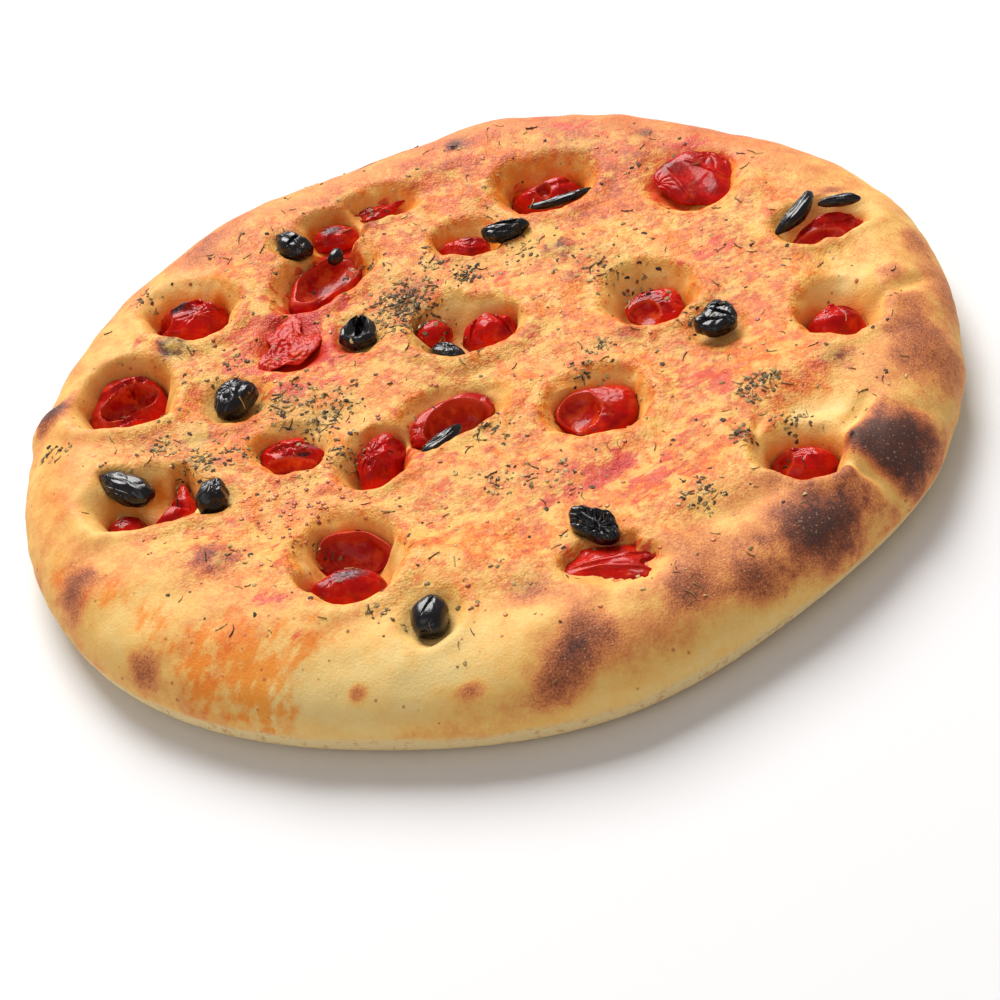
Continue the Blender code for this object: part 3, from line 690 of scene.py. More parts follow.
def build_topping(row, number):
    """The finished shape in millimetres, with its masks."""
    name, form, length, width, height, turn, lean, bend, wrinkles = row
    fine = 6 if length * width > LARGE_FRUIT else 5
    bm = bmesh.new()
    bmesh.ops.create_icosphere(bm, subdivisions=fine, radius=1.0)
    unit = np.array([v.co for v in bm.verts]).T
    size = math.sqrt(length * width)
    points = fruit_form(unit, form, length, width, height, bend, 1.7 * number)
    top = points[:, 2].max()
    points, masks = add_features(points, unit, name, form, height, size, number)
    over = np.clip(points[:, 2] / top - ROUND_FROM, 0, None)
    points[:, 2] = np.minimum(points[:, 2], ROUND_FROM * top)
    points[:, 2] += ROUND_OVER * top * np.tanh(over / ROUND_OVER)
    for vert, point in zip(bm.verts, points):
        vert.co = point
    bm.normal_update()
    smooth = limit(masks["flesh"] - masks["matte"])
    shift = wrinkled(points, form, wrinkles, number * 1.3, size) * (1 - 0.8 * smooth)
    shift += 0.5 * masks["matte"] * cloudy(points, 1.6, number + 80)
    for vert, move in zip(bm.verts, shift):
        vert.co += vert.normal * move
    tip = ("Y", -lean) if form == "strip" else ("X", lean)
    bmesh.ops.rotate(bm, verts=bm.verts, cent=(0, 0, height / 2),
                     matrix=Matrix.Rotation(math.radians(tip[1]), 3, tip[0]))
    bmesh.ops.rotate(bm, verts=bm.verts, cent=(0, 0, 0),
                     matrix=Matrix.Rotation(math.radians(turn), 3, "Z"))
    grow = into_box(bm, name)
    return bm, masks, grow


toppings = []
for number, row in enumerate(TOPPINGS):
    bm, masks, grow = build_topping(row, number)
    toppings.append((row, bm, masks))
    if number in (0, 12, 24):
        print(row[0], "was scaled by", [round(float(g), 3) for g in grow], "to fit its node")


# %% [markdown]
# ## The finish of tomato and olive
# Roasted tomato skin is thin, tight and wet: clear red with darker and more orange
# patches, nearly black where it burnt. Cut flesh is paler and more orange. A clear coat
# over a slightly rough body gives the two highlights that wet skin has.

# %% Tomato
tomato_skin, tree, shader = new_material("roast tomato")
flesh, scorch, matte, rim = (painted(tree, n) for n in ("flesh", "scorch", "matte", "rim"))
deep = patches(tree, 9.0, 3.0, 0.35, 0.7, 1.0)
warm = patches(tree, 5.0, 4.0, 0.5, 0.75, 2.0)
fine = patches(tree, 1.3, 3.0, 0.35, 0.7, 4.0)
in_pulp = patches(tree, 4.0, 3.0, 0.42, 0.66, 5.0)
skin_red = blend(deep, colour(204, 20, 10), colour(140, 7, 8))
pulp = blend(in_pulp, colour(178, 14, 9), colour(218, 76, 26))
crushed = blend(warm, colour(214, 30, 4), colour(238, 88, 10))
ash = blend(fine, colour(46, 34, 40), colour(132, 120, 128))
red = layered(skin_red, (times(warm, 0.55), colour(222, 74, 26)), (times(flesh, 0.8), pulp),
              (times(matte, 0.8), crushed), (times(rim, 0.55), colour(232, 96, 70)),
              (scorch, ash))
gloss = plus(plus(0.19, times(fine, 0.10)), times(matte, 0.10))
fill(shader, Base_Color=red, Roughness=plus(gloss, times(scorch, 0.25)),
     Coat_Weight=times(minus(1.0, times(matte, 0.7), clamp=True), 0.15), Coat_Roughness=0.05,
     Specular_IOR_Level=0.09, Normal=bumped(fine, 0.25, 0.0002))
print("tomato material has", len(tree.nodes), "nodes")

# %% [markdown]
# A black olive dries to a blue-black raisin in the oven. Its skin is nearly black, so
# its look is all in the sharp wet highlights along its wrinkles.

# %% Olive
olive_skin, tree, shader = new_material("black olive")
brown = patches(tree, 5.0, 4.0, 0.5, 0.75, 6.0)
fine = patches(tree, 0.9, 3.0, 0.35, 0.7, 8.0)
black = layered(colour(9, 6, 12), (times(brown, 0.6), colour(30, 14, 16)),
                (times(painted(tree, "flesh"), 0.6), colour(20, 14, 18)),
                (painted(tree, "scorch"), colour(62, 42, 36)))
fill(shader, Base_Color=black, Roughness=plus(0.24, times(fine, 0.12)), Coat_Weight=0.4,
     Coat_Roughness=0.10, Specular_IOR_Level=0.30, Normal=bumped(fine, 0.25, 0.0002))
print("olive material has", len(tree.nodes), "nodes")

# %% [markdown]
# ### Setting the toppings down
# Before each shape becomes an object, a search tree is made of it. The dough uses those
# trees to find where a topping's underside is.

# %% Toppings become objects
seats = []
for row, bm, masks in toppings:
    name = row[0]
    bm.normal_update()
    shape = BVHTree.FromBMesh(bm)
    points = np.array([v.co for v in bm.verts])
    seats.append((shape, points.min(0), points.max(0)))
    tomato = name.startswith("tomato")
    piece = finish_mesh("roast_" + name, bm, tomato_skin if tomato else olive_skin, masks)
    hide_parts(name)
    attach(piece, "root")


# %% [markdown]
# ## The dough
# The skin of the loaf starts as a flat grid, which is pushed out into a disc. Its edge
# is then extruded outward ring by ring, over the rim, down to the table and back under.
# A sphere would have a pole of pinched faces in the middle of the loaf. This way has
# even, square faces all over the top.

# %% Height and depth of the dough
def swelling(x, y):
    """Height that soft bubbles and hollows add to the dough."""
    total = np.zeros_like(x)
    for row_x, row_y, height, *oval in SWELLS:
        total = total + height * np.exp(-0.9 * reach(x, y, row_x, row_y, *oval) ** 2)
    slow = np.array([noise.noise(Vector((a / 36, b / 36, 4.2))) for a, b in zip(x, y)])
    quick = np.array([noise.noise(Vector((a / 15, b / 15, 9.7))) for a, b in zip(x, y)])
    return total + 1.6 * slow + 0.7 * quick


def dimpling(x, y):
    """Depth that finger dimples take away, less the lip that they push up."""
    flat = np.stack((x, y, 0 * x), axis=1)
    x = x + 1.5 * cloudy(flat, 9.0, 21.0) + 0.5 * cloudy(flat, 3.5, 22.0)
    y = y + 1.5 * cloudy(flat, 9.0, 23.0) + 0.5 * cloudy(flat, 3.5, 24.0)
    fourth = np.zeros_like(x)
    lip = np.zeros_like(x)
    for row_x, row_y, size_x, size_y, turn, depth, steep in DIMPLES:
        angle = np.arctan2(y - row_y, x - row_x)
        away = reach(x, y, row_x, row_y, size_x, size_y, turn)
        away = away * (1 + 0.035 * np.cos(3 * angle + row_x) + 0.022 * np.cos(7 * angle + row_y))
        steeper = steep * CRISPER * (1 - 0.4 * np.sin(angle))
        fourth = fourth + (depth / (1 + away**steeper)) ** 4
        lip = np.maximum(lip, depth / 15 * np.exp(-(((away - 1.45) / 0.28) ** 2)))
    depth = fourth**0.25
    folded = np.zeros_like(x)
    for *oval, deep in FOLDS:
        folded = np.maximum(folded, deep * np.exp(-(reach(x, y, *oval) ** 2)))
    return depth + folded - LIP * lip * limit(1 - depth / 4)


def outline(theta):
    """Plan radius of the loaf's widest line in the direction theta."""
    radius = np.full_like(theta, RADIUS)
    for wave, (along, across) in OVAL.items():
        radius = radius + along * np.cos(wave * theta) + across * np.sin(wave * theta)
    return radius


print("plan radius to the right", round(float(outline(np.array([0.0]))[0]), 1), "mm")


# %% [markdown]
# Each point of the skin has two numbers: its direction from the middle, and its place
# along the section. Place runs 0 to 1 over the top, 1 to 2 down the rim's shoulder, 2
# to 3 in under the rim and 3 to 4 along the base.

# %% A point of the dough from its direction and place
def dough(theta, place):
    """Points of the crust, the depth of its dimples and how far each faces up."""
    radius = outline(theta)
    top_round = TOP_ROUND - FRONT_ROUND * np.sin(theta)
    crest_at = radius - top_round
    flat = limit(place)
    over = np.radians(90 * limit(2 - place))
    under = np.radians(90 * limit(place - 2))
    far = np.where(place <= 1, flat * crest_at, crest_at + top_round * np.cos(over))
    tuck = UNDER_ROUND * (1 - np.cos(under))
    crease = CREASE * np.exp(-(((under - 0.30) / 0.12) ** 2))
    far = np.where(place > 2, radius - tuck - crease, far)
    far = np.where(place > 3, (radius - UNDER_ROUND) * (4 - place), far)
    rise = limit((flat - 0.62) / 0.3)
    inner = MIDDLE + (CREST - MIDDLE) * rise * rise * (3 - 2 * rise)
    high = np.where(place <= 1, inner, WAIST + (CREST - WAIST) * np.sin(over))
    high = np.where(place > 2, WAIST * (1 - np.sin(under)), high)
    x = far * np.cos(theta)
    y = far * np.sin(theta)
    upward = np.where(place <= 1, 1.0, np.sin(over))
    outward = np.where(place <= 1, 0.0, np.cos(over))
    outward = np.where(place > 2, np.cos(under) ** 6, outward)
    outward = np.where(place > 3, 0.0, outward)
    upward = np.where(place > 2, 0.0, upward)
    lump = swelling(x, y)
    side = np.clip(lump, 0, 2.5) * outward
    sunk = dimpling(x, y) * limit(upward * 1.3)
    sunk = np.clip(sunk, -3, 30)
    points = np.stack(((far + side) * np.cos(theta), (far + side) * np.sin(theta),
                       high + lump * upward - sunk), axis=1)
    return points, sunk, upward, outward


sample = dough(np.array([0.0, 0.0]), np.array([0.0, 2.0]))[0]
print("middle and widest point", sample.round(1).tolist())

# %% Grow the skin from a grid, ring by ring
CORE = 176  # Faces along a side of the grid.
CORE_REACH = 0.60  # How far out over the top's section the grid reaches.
ROUNDNESS, INSET = 0.75, 0.85  # Of the grid's edge, and of the squares inside it.
RINGS = {"flat": 48, "shoulder": 30, "tuck": 10, "base": 5}
BASE_END = 0.9  # The rest of the base is one face.


def square_to_disc(u, v):
    """Direction and place of a grid point: square in the middle, round at the edge."""
    span = max(abs(u), abs(v), 1e-9)
    share = min(abs(u), abs(v)) / span * math.pi / 4
    turn = share if abs(u) >= abs(v) else math.pi / 2 - share
    roundness = ROUNDNESS * span
    square = (1 - roundness) * INSET
    px = square * u + roundness * span * math.copysign(math.cos(turn), u)
    py = square * v + roundness * span * math.copysign(math.sin(turn), v)
    return math.atan2(py, px), math.hypot(px, py) * CORE_REACH


def even_direction(u, v):
    """Direction of an edge point once the rings are round, evenly spaced."""
    share = min(abs(u), abs(v)) * math.pi / 4
    turn = share if abs(u) >= abs(v) else math.pi / 2 - share
    return math.atan2(math.copysign(math.sin(turn), v), math.copysign(math.cos(turn), u))


crust = bmesh.new()
bmesh.ops.create_grid(crust, x_segments=CORE, y_segments=CORE, size=1.0)
address = {v: square_to_disc(v.co.x, v.co.y) for v in crust.verts}
edge = [e for e in crust.edges if e.is_boundary]
even = {v: even_direction(v.co.x, v.co.y) for e in edge for v in e.verts}
root = {v: v for v in even}
steps = [(i / RINGS["flat"], i / RINGS["flat"]) for i in range(1, RINGS["flat"] + 1)]
for number, part in enumerate(("shoulder", "tuck", "base")):
    last = BASE_END if part == "base" else 1.0
    steps += [(1.0, number + 1 + last * i / RINGS[part]) for i in range(1, RINGS[part] + 1)]
for share, step in steps:
    grown = bmesh.ops.extrude_edge_only(crust, edges=edge)["geom"]
    fresh = {g for g in grown if isinstance(g, bmesh.types.BMVert)}
    edge = [g for g in grown if isinstance(g, bmesh.types.BMEdge)
            and g.verts[0] in fresh and g.verts[1] in fresh]
    for vert in fresh:
        old = next(e.other_vert(vert) for e in vert.link_edges if e.other_vert(vert) not in fresh)
        start = root[old]
        root[vert] = start
        theta, place = address[start]
        gap = (even[start] - theta + math.pi) % (2 * math.pi) - math.pi
        place = place + (1 - place) * step if step <= 1 else step
        address[vert] = (theta + gap * share, place)
bmesh.ops.edgeloop_fill(crust, edges=edge)
print("crust has", len(crust.verts), "points and", len(crust.faces), "faces")

# %% [markdown]
# ### Pressing the dough into shape
# All points move at once. Over the large forms lies a finer relief: a soft unevenness
# of about a millimetre, and a sandy grain on the top. Then the dough is pressed down
# wherever a topping lies in it, so that each fruit sits snugly.

# %% Shape the dough
AIR_GAP = 0.25  # Millimetres between a topping and the dough under it.
RAY_START, DEEPEST = 5, 6  # Millimetres below a topping's lowest point.
verts = list(crust.verts)
theta, place = np.array([address[v] for v in verts]).T
points, sunk, upward, outward = dough(theta, place)
shown = limit(upward + outward)
rough_top = limit((1.1 - place) / 0.25) * limit(1 - sunk / 3)
grain = 0.30 * cloudy(points, 7.0, 31.0) + (0.08 + 0.26 * rough_top) * cloudy(points, 3.0, 32.0)
direction = np.stack((outward * np.cos(theta), outward * np.sin(theta), upward), axis=1)


def off_seat(low, high, margin=0):
    """How far each point lies from a topping's middle, where 1 is the topping's edge."""
    middle, half = (low + high) / 2, (high - low) / 2 + margin
    return reach(*points.T[:2], *middle[:2], *half[:2], 0)


near_fruit = np.zeros(len(points))
for shape, low, high in seats:
    near_fruit = np.maximum(near_fruit, limit(1.8 - off_seat(low, high, 3)))
grain += 1.3 * cloudy(points, 21.0, 33.0) * (1 - near_fruit) * upward
points = points + direction * (grain * shown)[:, None]
for vert, point in zip(verts, points):
    vert.co = point


def press():
    """Pushes the dough down under each topping. Returns the points that moved."""
    moved = set()
    for shape, low, high in seats:
        inside = ((points[:, :2] > low[:2]) & (points[:, :2] < high[:2])).all(axis=1)
        for i in np.nonzero(inside & (points[:, 2] > low[2] - DEEPEST))[0]:
            spot = verts[i].co
            start = Vector((spot.x, spot.y, low[2] - RAY_START))
            hit = shape.ray_cast(start, Vector((0, 0, 1)))[0]
            if hit is not None and spot.z > hit.z + AIR_GAP:
                spot.z = hit.z + AIR_GAP
                moved.add(verts[i])
    return moved


under = press()
around_fruit = set(under)
for step in range(2):
    around_fruit |= {e.other_vert(v) for v in around_fruit for e in v.link_edges}
for step in range(5):
    bmesh.ops.smooth_vert(crust, verts=list(around_fruit), factor=0.5,
                          use_axis_x=False, use_axis_y=False, use_axis_z=True)
press()
low, high = (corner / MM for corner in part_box("crust"))
for vert in verts:
    vert.co = np.clip(vert.co, low, high)
points = np.array([v.co for v in verts])
bmesh.ops.recalc_face_normals(crust, faces=crust.faces)
print("pressed", len(under), "points; base at", round(float(points[:, 2].min()), 3), "mm")

# %% [markdown]
# ## Where the oven browned it
# Browning follows the bubbles and the heat: the thin tops of blisters burn first, the
# front rim stays pale and the right rim goes dark. The marks are placed on the
# loaf, each as a small ellipsoid around a point, and the edges are broken up by noise.
# They are stored as masks on the points, so they stay on the dough from every side.

# %% Marks on the crust: x, y, z, reach along, reach across, turn, strength
BURNS = rows_of("""
    133 -87 31 19 18 12 0.66; 100 -121 27 19 12 23 0.5; 74 -138 26 9 8 20 0.26;
    50 -140 31 8 8 0 0.28; 15 -151 32 9 10 0 0.33; 6 -161 27 9 9 0 0.36; -3 -166 21 7 5 0 0.2;
    -2 -126 34 7 8 0 0.22; -156 -70 27 8 11 -10 0.38; -134 -113 22 7 8 0 0.32;
    -106 -79 35 9 8 0 0.3; 37 62 33 6 6 0 0.42; 123 -40 35 6 5 0 0.36; 82 -70 33 4 4 0 0.34;
    -108 -5 31 6 5 0 0.25; -161 30 29 7 8 0 0.6; -113 47 35 7 6 0 0.75; 155 -41 31 13 18 0 0.26;
    153 -21 33 10 15 0 0.16; -27 -160 25 5 3 0 0.3; -63 -150 26 3 3 0 0.4; 8 143 34 5 4 0 0.4;
    81 124 35 4 3 0 0.3; -29 149 30 4 3 0 0.4; -20 57 29 7 5 0 0.32; -33 105 28 5 4 0 0.3;
    54 1 32 4 4 0 0.3; 72 -9 30 4 4 0 0.2; 39 44 31 3 3 0 0.35; 57 -129 32 18 17 25 0.13;
    114 -100 28 20 15 35 0.16; 91 -111 32 17 15 25 0.12; 31 -156 28 16 12 20 0.1;
    171 -1 23 7 17 0 0.2; 153 3 33 5 5 0 0.22; 167 26 27 6 8 0 0.25; -95 115 33 16 6 40 0.16;
    -72 -147 24 39 22 -10 -0.2; -24 -147 29 21 17 0 -0.12; -141 -100 24 16 20 -40 -0.14;
    -101 90 31 11 9 0 -0.16; -61 -10 27 16 13 0 -0.14; 137 9 31 9 9 0 -0.2;
    112 -63 30 11 10 0 -0.2; 71 -147 8 30 14 22 -0.14; 28 -166 14 32 15 12 -0.14;
    -37 -118 31 21 12 0 -0.07; 60 53 32 21 10 0 -0.05; 144 62 34 5 3 0 0.35
""")

# Oil stained orange by tomato juice: the same columns. The first rows ran down the rim.
OILS = rows_of("""
    -115 -125 25 8 16 10 1; -96 -133 27 10 24 10 1.1; -129 -100 31 6 13 10 1;
    -107 -115 32 7 9 0 0.5; -76 -128 33 12 9 0 0.8; -143 -80 31 8 8 0 0.9; -162 -58 25 5 9 0 0.7;
    -157 -87 18 5 9 0 0.4; -159 -13 31 9 22 0 0.45; -139 1 34 12 11 0 0.3; -70 42 26 22 22 0 0.5;
    -30 -49 30 22 12 0 0.4; 21 -50 31 26 17 0 0.5; 45 -81 32 24 13 12 0.6; 30 121 26 32 14 0 0.5;
    95 100 24 22 22 0 0.5; 84 15 29 22 27 0 0.5; 39 -18 19 22 18 0 0.55; -40 84 21 22 17 12 0.5;
    -103 87 21 18 12 12 0.4; 18 87 28 25 12 0 0.5; -128 -22 20 18 11 0 0.35;
    -93 -82 34 18 11 0 0.4; -65 -66 21 15 11 0 0.4; 121 29 33 15 16 0 0.3;
    -15 -109 35 18 11 0 0.4; -80 -12 18 15 10 0 0.5; 28 -96 30 14 11 12 0.4;
    -62 56 27 16 10 20 0.8; -40 -42 30 12 8 0 0.8; 34 124 24 18 8 0 0.6; 104 -72 24 12 8 0 0.5;
    -86 24 30 12 9 30 0.8
""")
RAN_DOWN = 8

# Smears of tomato skin and pulp: the same columns
SMEARS = rows_of("""
    49 -82 32 10 6 27 0.9; 63 -64 32 10 5 -54 0.6; 24 -70 31 10 6 5 0.5; 12 -83 31 4 4 0 0.6;
    71 -32 31 12 12 0 0.55; 51 141 34 7 4 -18 0.8; 62 138 34 4 3 0 0.6; 93 42 31 10 8 -18 0.6;
    102 26 32 6 4 0 0.6; 12 132 34 4 5 0 0.5; 14 54 31 4 5 0 0.7; -50 30 29 8 7 0 0.8;
    -55 14 30 6 7 0 0.6; -90 -105 35 8 4 -32 0.7; -79 -125 34 3 3 0 0.5; -96 -60 33 4 3 0 0.5;
    -82 -78 33 5 4 -54 0.5; 40 -68 31 7 5 27 0.6; 65 -86 34 6 4 12 0.5; 43 -93 33 5 4 12 0.4;
    27 118 24 7 6 0 0.5; -25 122 23 7 8 0 0.5; 80 90 27 5 8 0 0.7; 98 112 34 7 4 0 0.4;
    58 89 31 6 5 0 0.35; 19 11 30 5 4 0 0.5; 54 -6 32 5 4 0 0.45; 44 29 30 7 7 0 0.35;
    -59 101 26 5 4 27 0.5; -53 86 13 4 9 0 0.5; -71 12 31 8 4 0 0.8; -36 119 20 7 6 0 0.4;
    4 -44 31 5 5 0 0.4; -47 92 22 7 9 20 1.4; -44 100 22 8 6 0 1.2; -62 62 22 11 10 60 1.4;
    -70 42 28 21 17 73 1.25; -64 28 28 8 6 0 0.8; 96 90 30 20 18 33 0.75; 31 -116 31 15 9 -18 0.8;
    83 -40 32 9 4 -60 0.8; 30 -76 32 14 4 20 0.9; -32 -36 26 6 9 0 1; 101 -13 31 6 5 0 0.35;
    108 -48 33 5 4 0 0.3; -27 -92 33 6 5 0 0.35; -7 -99 33 6 4 0 0.3; -127 55 34 4 4 0 0.5;
    -145 -6 33 4 5 0 0.4
""")


def marks_on(points, rows, power, ragged, seed):
    """Adds up the rows' marks at each point, each with a ragged edge."""
    wobble = 1 + ragged * cloudy(points, 6.0, seed) + 0.6 * ragged * cloudy(points, 2.5, seed + 1)
    total = np.zeros(len(points))
    for x, y, z, along, across, turn, strength in rows:
        flat = reach(*points.T[:2], x, y, along, across, turn)
        away = np.sqrt(flat**2 + ((points[:, 2] - z) / max(across, 6)) ** 2) * wobble
        total += strength * np.exp(-(away**power))
    return total


low_rim = limit((place + 0.05 * cloudy(points, 9.0, 49.0) - 2.03) / 0.10)
base = limit((place - 2.85) / 0.15)
hollow = limit(sunk / 9)
lip = np.exp(-(((sunk + 0.2) / 0.9) ** 2)) * 0.05
bake = 0.345 + marks_on(points, BURNS, 3.0, 0.30, 41.0)
bake += 0.07 * cloudy(points, 24.0, 42.0) + 0.05 * cloudy(points, 9.0, 43.0)
far_side = limit((points[:, 1] - 60) / 60) * limit(upward * 2)
bake += (0.09 + 0.04 * limit(points[:, 0] / 60)) * far_side
flat_top = limit((1.12 - place) / 0.25)
bake += 0.03 * flat_top
for x, y, along, across, turn, _ in FOLDS[:2]:
    away = reach(*points.T[:2], x, y, along, across * 1.1, turn)
    bake -= 0.42 * np.exp(-(away**2)) * limit(bake - 0.30) / 0.4
bake = bake * (1 - 0.40 * limit(hollow * 2)) + 0.10 * hollow + lip
crisp = limit((bake - 0.36) / 0.2) * (1 - low_rim) * (1 - hollow)
right_rim = limit((points[:, 0] - 20) / 60) * limit((place - 0.75) / 0.3)
crisp = np.maximum(crisp, 0.45 * right_rim * (1 - low_rim))
near_tomato = np.zeros(len(points))
for (shape, low, high), row in zip(seats, TOPPINGS):
    if row[0].startswith("tomato"):
        away = np.clip(off_seat(low, high) - 0.95, 0, 9)
        near_tomato = np.maximum(near_tomato, np.exp(-((away / 0.28) ** 2)))
middle_of_top = flat_top * (1 - limit(hollow * 3))
pools = 0.40 + 2.6 * cloudy(points, 21.0, 46.0) + 2.0 * cloudy(points, 8.0, 48.0)
pools = limit(pools + 0.8 * cloudy(points, 2.8, 50.0))
oil = limit(marks_on(points, OILS[RAN_DOWN:], 2.4, 0.35, 45.0))
stain = limit(marks_on(points, OILS[:RAN_DOWN], 2.0, 0.35, 45.0))
oil += 0.30 * near_tomato + 0.28 * hollow + (0.14 + 0.80 * pools) * middle_of_top
oil = limit(oil + (0.20 + 0.3 * pools) * far_side)
oil = oil * (1 - low_rim)
smear = np.clip(1.3 * marks_on(points, SMEARS, 2.0, 0.5, 47.0), 0, 1.6) * (1 - low_rim)
smear = np.clip(smear + 0.35 * near_tomato * hollow, 0, 1.6)
pale = marks_on(points, [r for r in BURNS if r[6] < -0.1], 3.0, 0.2, 41.0)
sand = middle_of_top * (1 - 0.8 * limit(-pale / 0.14))
masks = {"bake": limit(bake), "oil": oil, "smear": smear, "crisp": crisp,
         "foot": low_rim * (1 - base), "base": base, "sand": sand, "stain": stain}
print("masks", {k: round(float(v.mean()), 3) for k, v in masks.items()})

# %% [markdown]
# The herb falls in clumps. Their places are listed here, because fine herb dust also
# colours the crust between the bits of leaf.

# %% Clumps of herb: x, y, reach, how many bits
CLUMPS = rows_of("""
    -23 46 9 70; 0 60 4 14; -26 55 6 20; -73 3 8 20; -62 -8 7 15; -54 1 6 14; -107 -21 7 22;
    -119 -8 3 8; -55 -30 5 12; -161 4 4 7; 91 -47 4 12; 98 -44 3 8; 101 -64 4 6; 38 -12 4 7;
    82 -70 3 8; 64 -98 5 12; 51 48 6 8; 23 67 5 8; -121 86 4 5; -90 37 4 4; -37 84 4 8; 63 37 4 6;
    43 -2 3 6; -2 -36 5 8; 18 -72 7 8; -91 -17 4 7; -61 -89 3 5; -51 -121 4 4; -69 -74 3 3;
    7 140 3 2; 78 4 4 4; -2 -64 6 8; -12 68 4 6
""")
dusty = np.zeros(len(points))
for x, y, size, count in CLUMPS:
    away = reach(*points.T[:2], x, y, size * 1.3, size * 1.3, 0)
    dusty = np.maximum(dusty, min(1, 0.1 + count / 30) * np.exp(-(away**2)))
masks["dusty"] = dusty * limit(upward * 2)
print("clumps hold", int(sum(c[3] for c in CLUMPS)), "bits")

# %% [markdown]
# ## The finish of baked dough
# Bread goes from cream through gold and orange to brown and black as it bakes, so one
# colour ramp reads the bake mask, with noise of several sizes added for mottling. Oil
# makes it deeper and more orange, smears are red, and the rim has tiny pale blisters.
# Painting a picture by hand would do it too, but could not be made larger.

# %% Crust colours
baked, tree, shader = new_material("baked dough")
mask = {name: painted(tree, name) for name in masks}
broad = patches(tree, 10.0, 4.0, 0.3, 0.7, 11.0)
medium = patches(tree, 3.0, 4.0, 0.3, 0.7, 12.0)
fine = patches(tree, 0.9, 3.0, 0.3, 0.7, 13.0)
granular = patches(tree, 0.6, 2.0, 0.42, 0.62, 14.0)
blisters = mask_of(tree, dotted, Spacing_mm=1.35, Radius=0.30, Share=0.6)


def add_share(total, part, amount):
    """total + (part - 0.5) * amount"""
    return plus(total, times(minus(part, 0.5), amount))


sanded = plus(0.35, mask["sand"])
streaks = mask_of(tree, streaky, Size_mm=1.5, Length=3.5, Turn=0.35, From=0.35, To=0.65)
rough_share = times(mask["crisp"], 0.14)
level = mask["bake"]
for part, amount in ((broad, 0.10), (medium, times(sanded, 0.14)), (fine, times(sanded, 0.12)),
                     (streaks, times(mask["sand"], 0.05)), (granular, rough_share)):
    level = add_share(level, part, amount)
dough_colour = colour_ramp(
    level, (0.0, 242, 216, 150), (0.18, 247, 212, 134), (0.34, 246, 192, 102),
    (0.46, 232, 150, 80), (0.58, 202, 118, 68), (0.72, 156, 84, 50), (0.86, 108, 58, 40),
    (1.0, 76, 46, 38))
print("the crust reads", list(mask))

# %% Oil, smears, blisters, foot and base over it
soaked = patches(tree, 5.0, 5.0, 0.36, 0.62, 15.0)
drips = mask_of(tree, streaky, Size_mm=3.0, Length=4.0, Turn=1.3, From=0.38, To=0.62)
soaked = plus(times(soaked, 0.55), times(drips, 0.35))
oiled = times(mask["oil"], plus(0.42, soaked))
ran_down = mask_of(tree, streaky, Size_mm=3.6, Length=5.0, Turn=0.92, From=0.25, To=0.75)
blots = patches(tree, 7.0, 5.0, 0.30, 0.70, 24.0)
ran_down = add_share(plus(times(ran_down, 0.80), times(blots, 0.50)), fine, 0.30)
ran_down = times(mask["stain"], plus(0.12, ran_down))
oiled = calculate("MAXIMUM", oiled, soft_step(ran_down, 0.12, 0.80, To_Max=0.95))
grains = patches(tree, 2.0, 5.0, 0.48, 0.60, 25.0)
oiled = plus(oiled, times(times(grains, mask["sand"]), 0.60), clamp=True)
cream = times(times(patches(tree, 7.0, 6.0, 0.46, 0.60, 26.0), mask["sand"]), 0.7)
dough_colour = blend(cream, dough_colour, colour(250, 206, 104))
oiled = times(oiled, minus(1.0, times(cream, 0.9), clamp=True))
amber = blend(1.0, dough_colour, (1.0, 0.50, 0.12, 1), "MULTIPLY")
torn = mask_of(tree, streaky, Size_mm=2.2, Length=3.0, Turn=0.45, From=0.36, To=0.66)
smeared = soft_step(plus(mask["smear"], times(torn, 0.6)), 0.74, 1.10)
juicy = add_node(tree, "ShaderNodeMapRange", Value=mask["smear"], From_Min=1.0, From_Max=1.5)
blush = times(times(patches(tree, 6.0, 6.0, 0.53, 0.60, 19.0), mask["sand"]), 0.62)
blush = times(blush, patches(tree, 34.0, 2.0, 0.46, 0.60, 23.0))
dust = times(patches(tree, 1.2, 4.0, 0.46, 0.56, 20.0), times(mask["dusty"], 0.75))
specks = mask_of(tree, dotted, Spacing_mm=4.5, Radius=0.16, Share=0.4)
dough_colour = layered(
    dough_colour, (oiled, amber), (times(smeared, 0.8), colour(222, 54, 16)),
    (times(juicy.outputs[0], 0.85), colour(204, 18, 4)), (blush, colour(226, 90, 34)),
    (dust, colour(158, 122, 62)), (times(specks, 0.7), colour(176, 84, 48)))
pale_dots = times(times(blisters, mask["crisp"]), 0.6)
dot_colour = blend(0.45, dough_colour, colour(246, 190, 136))
freckles = patches(tree, 2.6, 4.0, 0.52, 0.66, 17.0)
foot_colour = blend(times(freckles, 0.55), colour(244, 218, 160), colour(206, 138, 78))
spots = patches(tree, 14.0, 5.0, 0.42, 0.62, 18.0)
base_colour = blend(spots, colour(222, 160, 92), colour(150, 88, 48))
dough_colour = layered(dough_colour, (pale_dots, dot_colour), (mask["foot"], foot_colour),
                       (mask["base"], base_colour))
print("crust material has", len(tree.nodes), "nodes")

# %% [markdown]
# Oiled bread glistens a little, dry rim less so. The bump adds the grain that is finer
# than the mesh: sandy crumbs, small blisters, and a rough char.

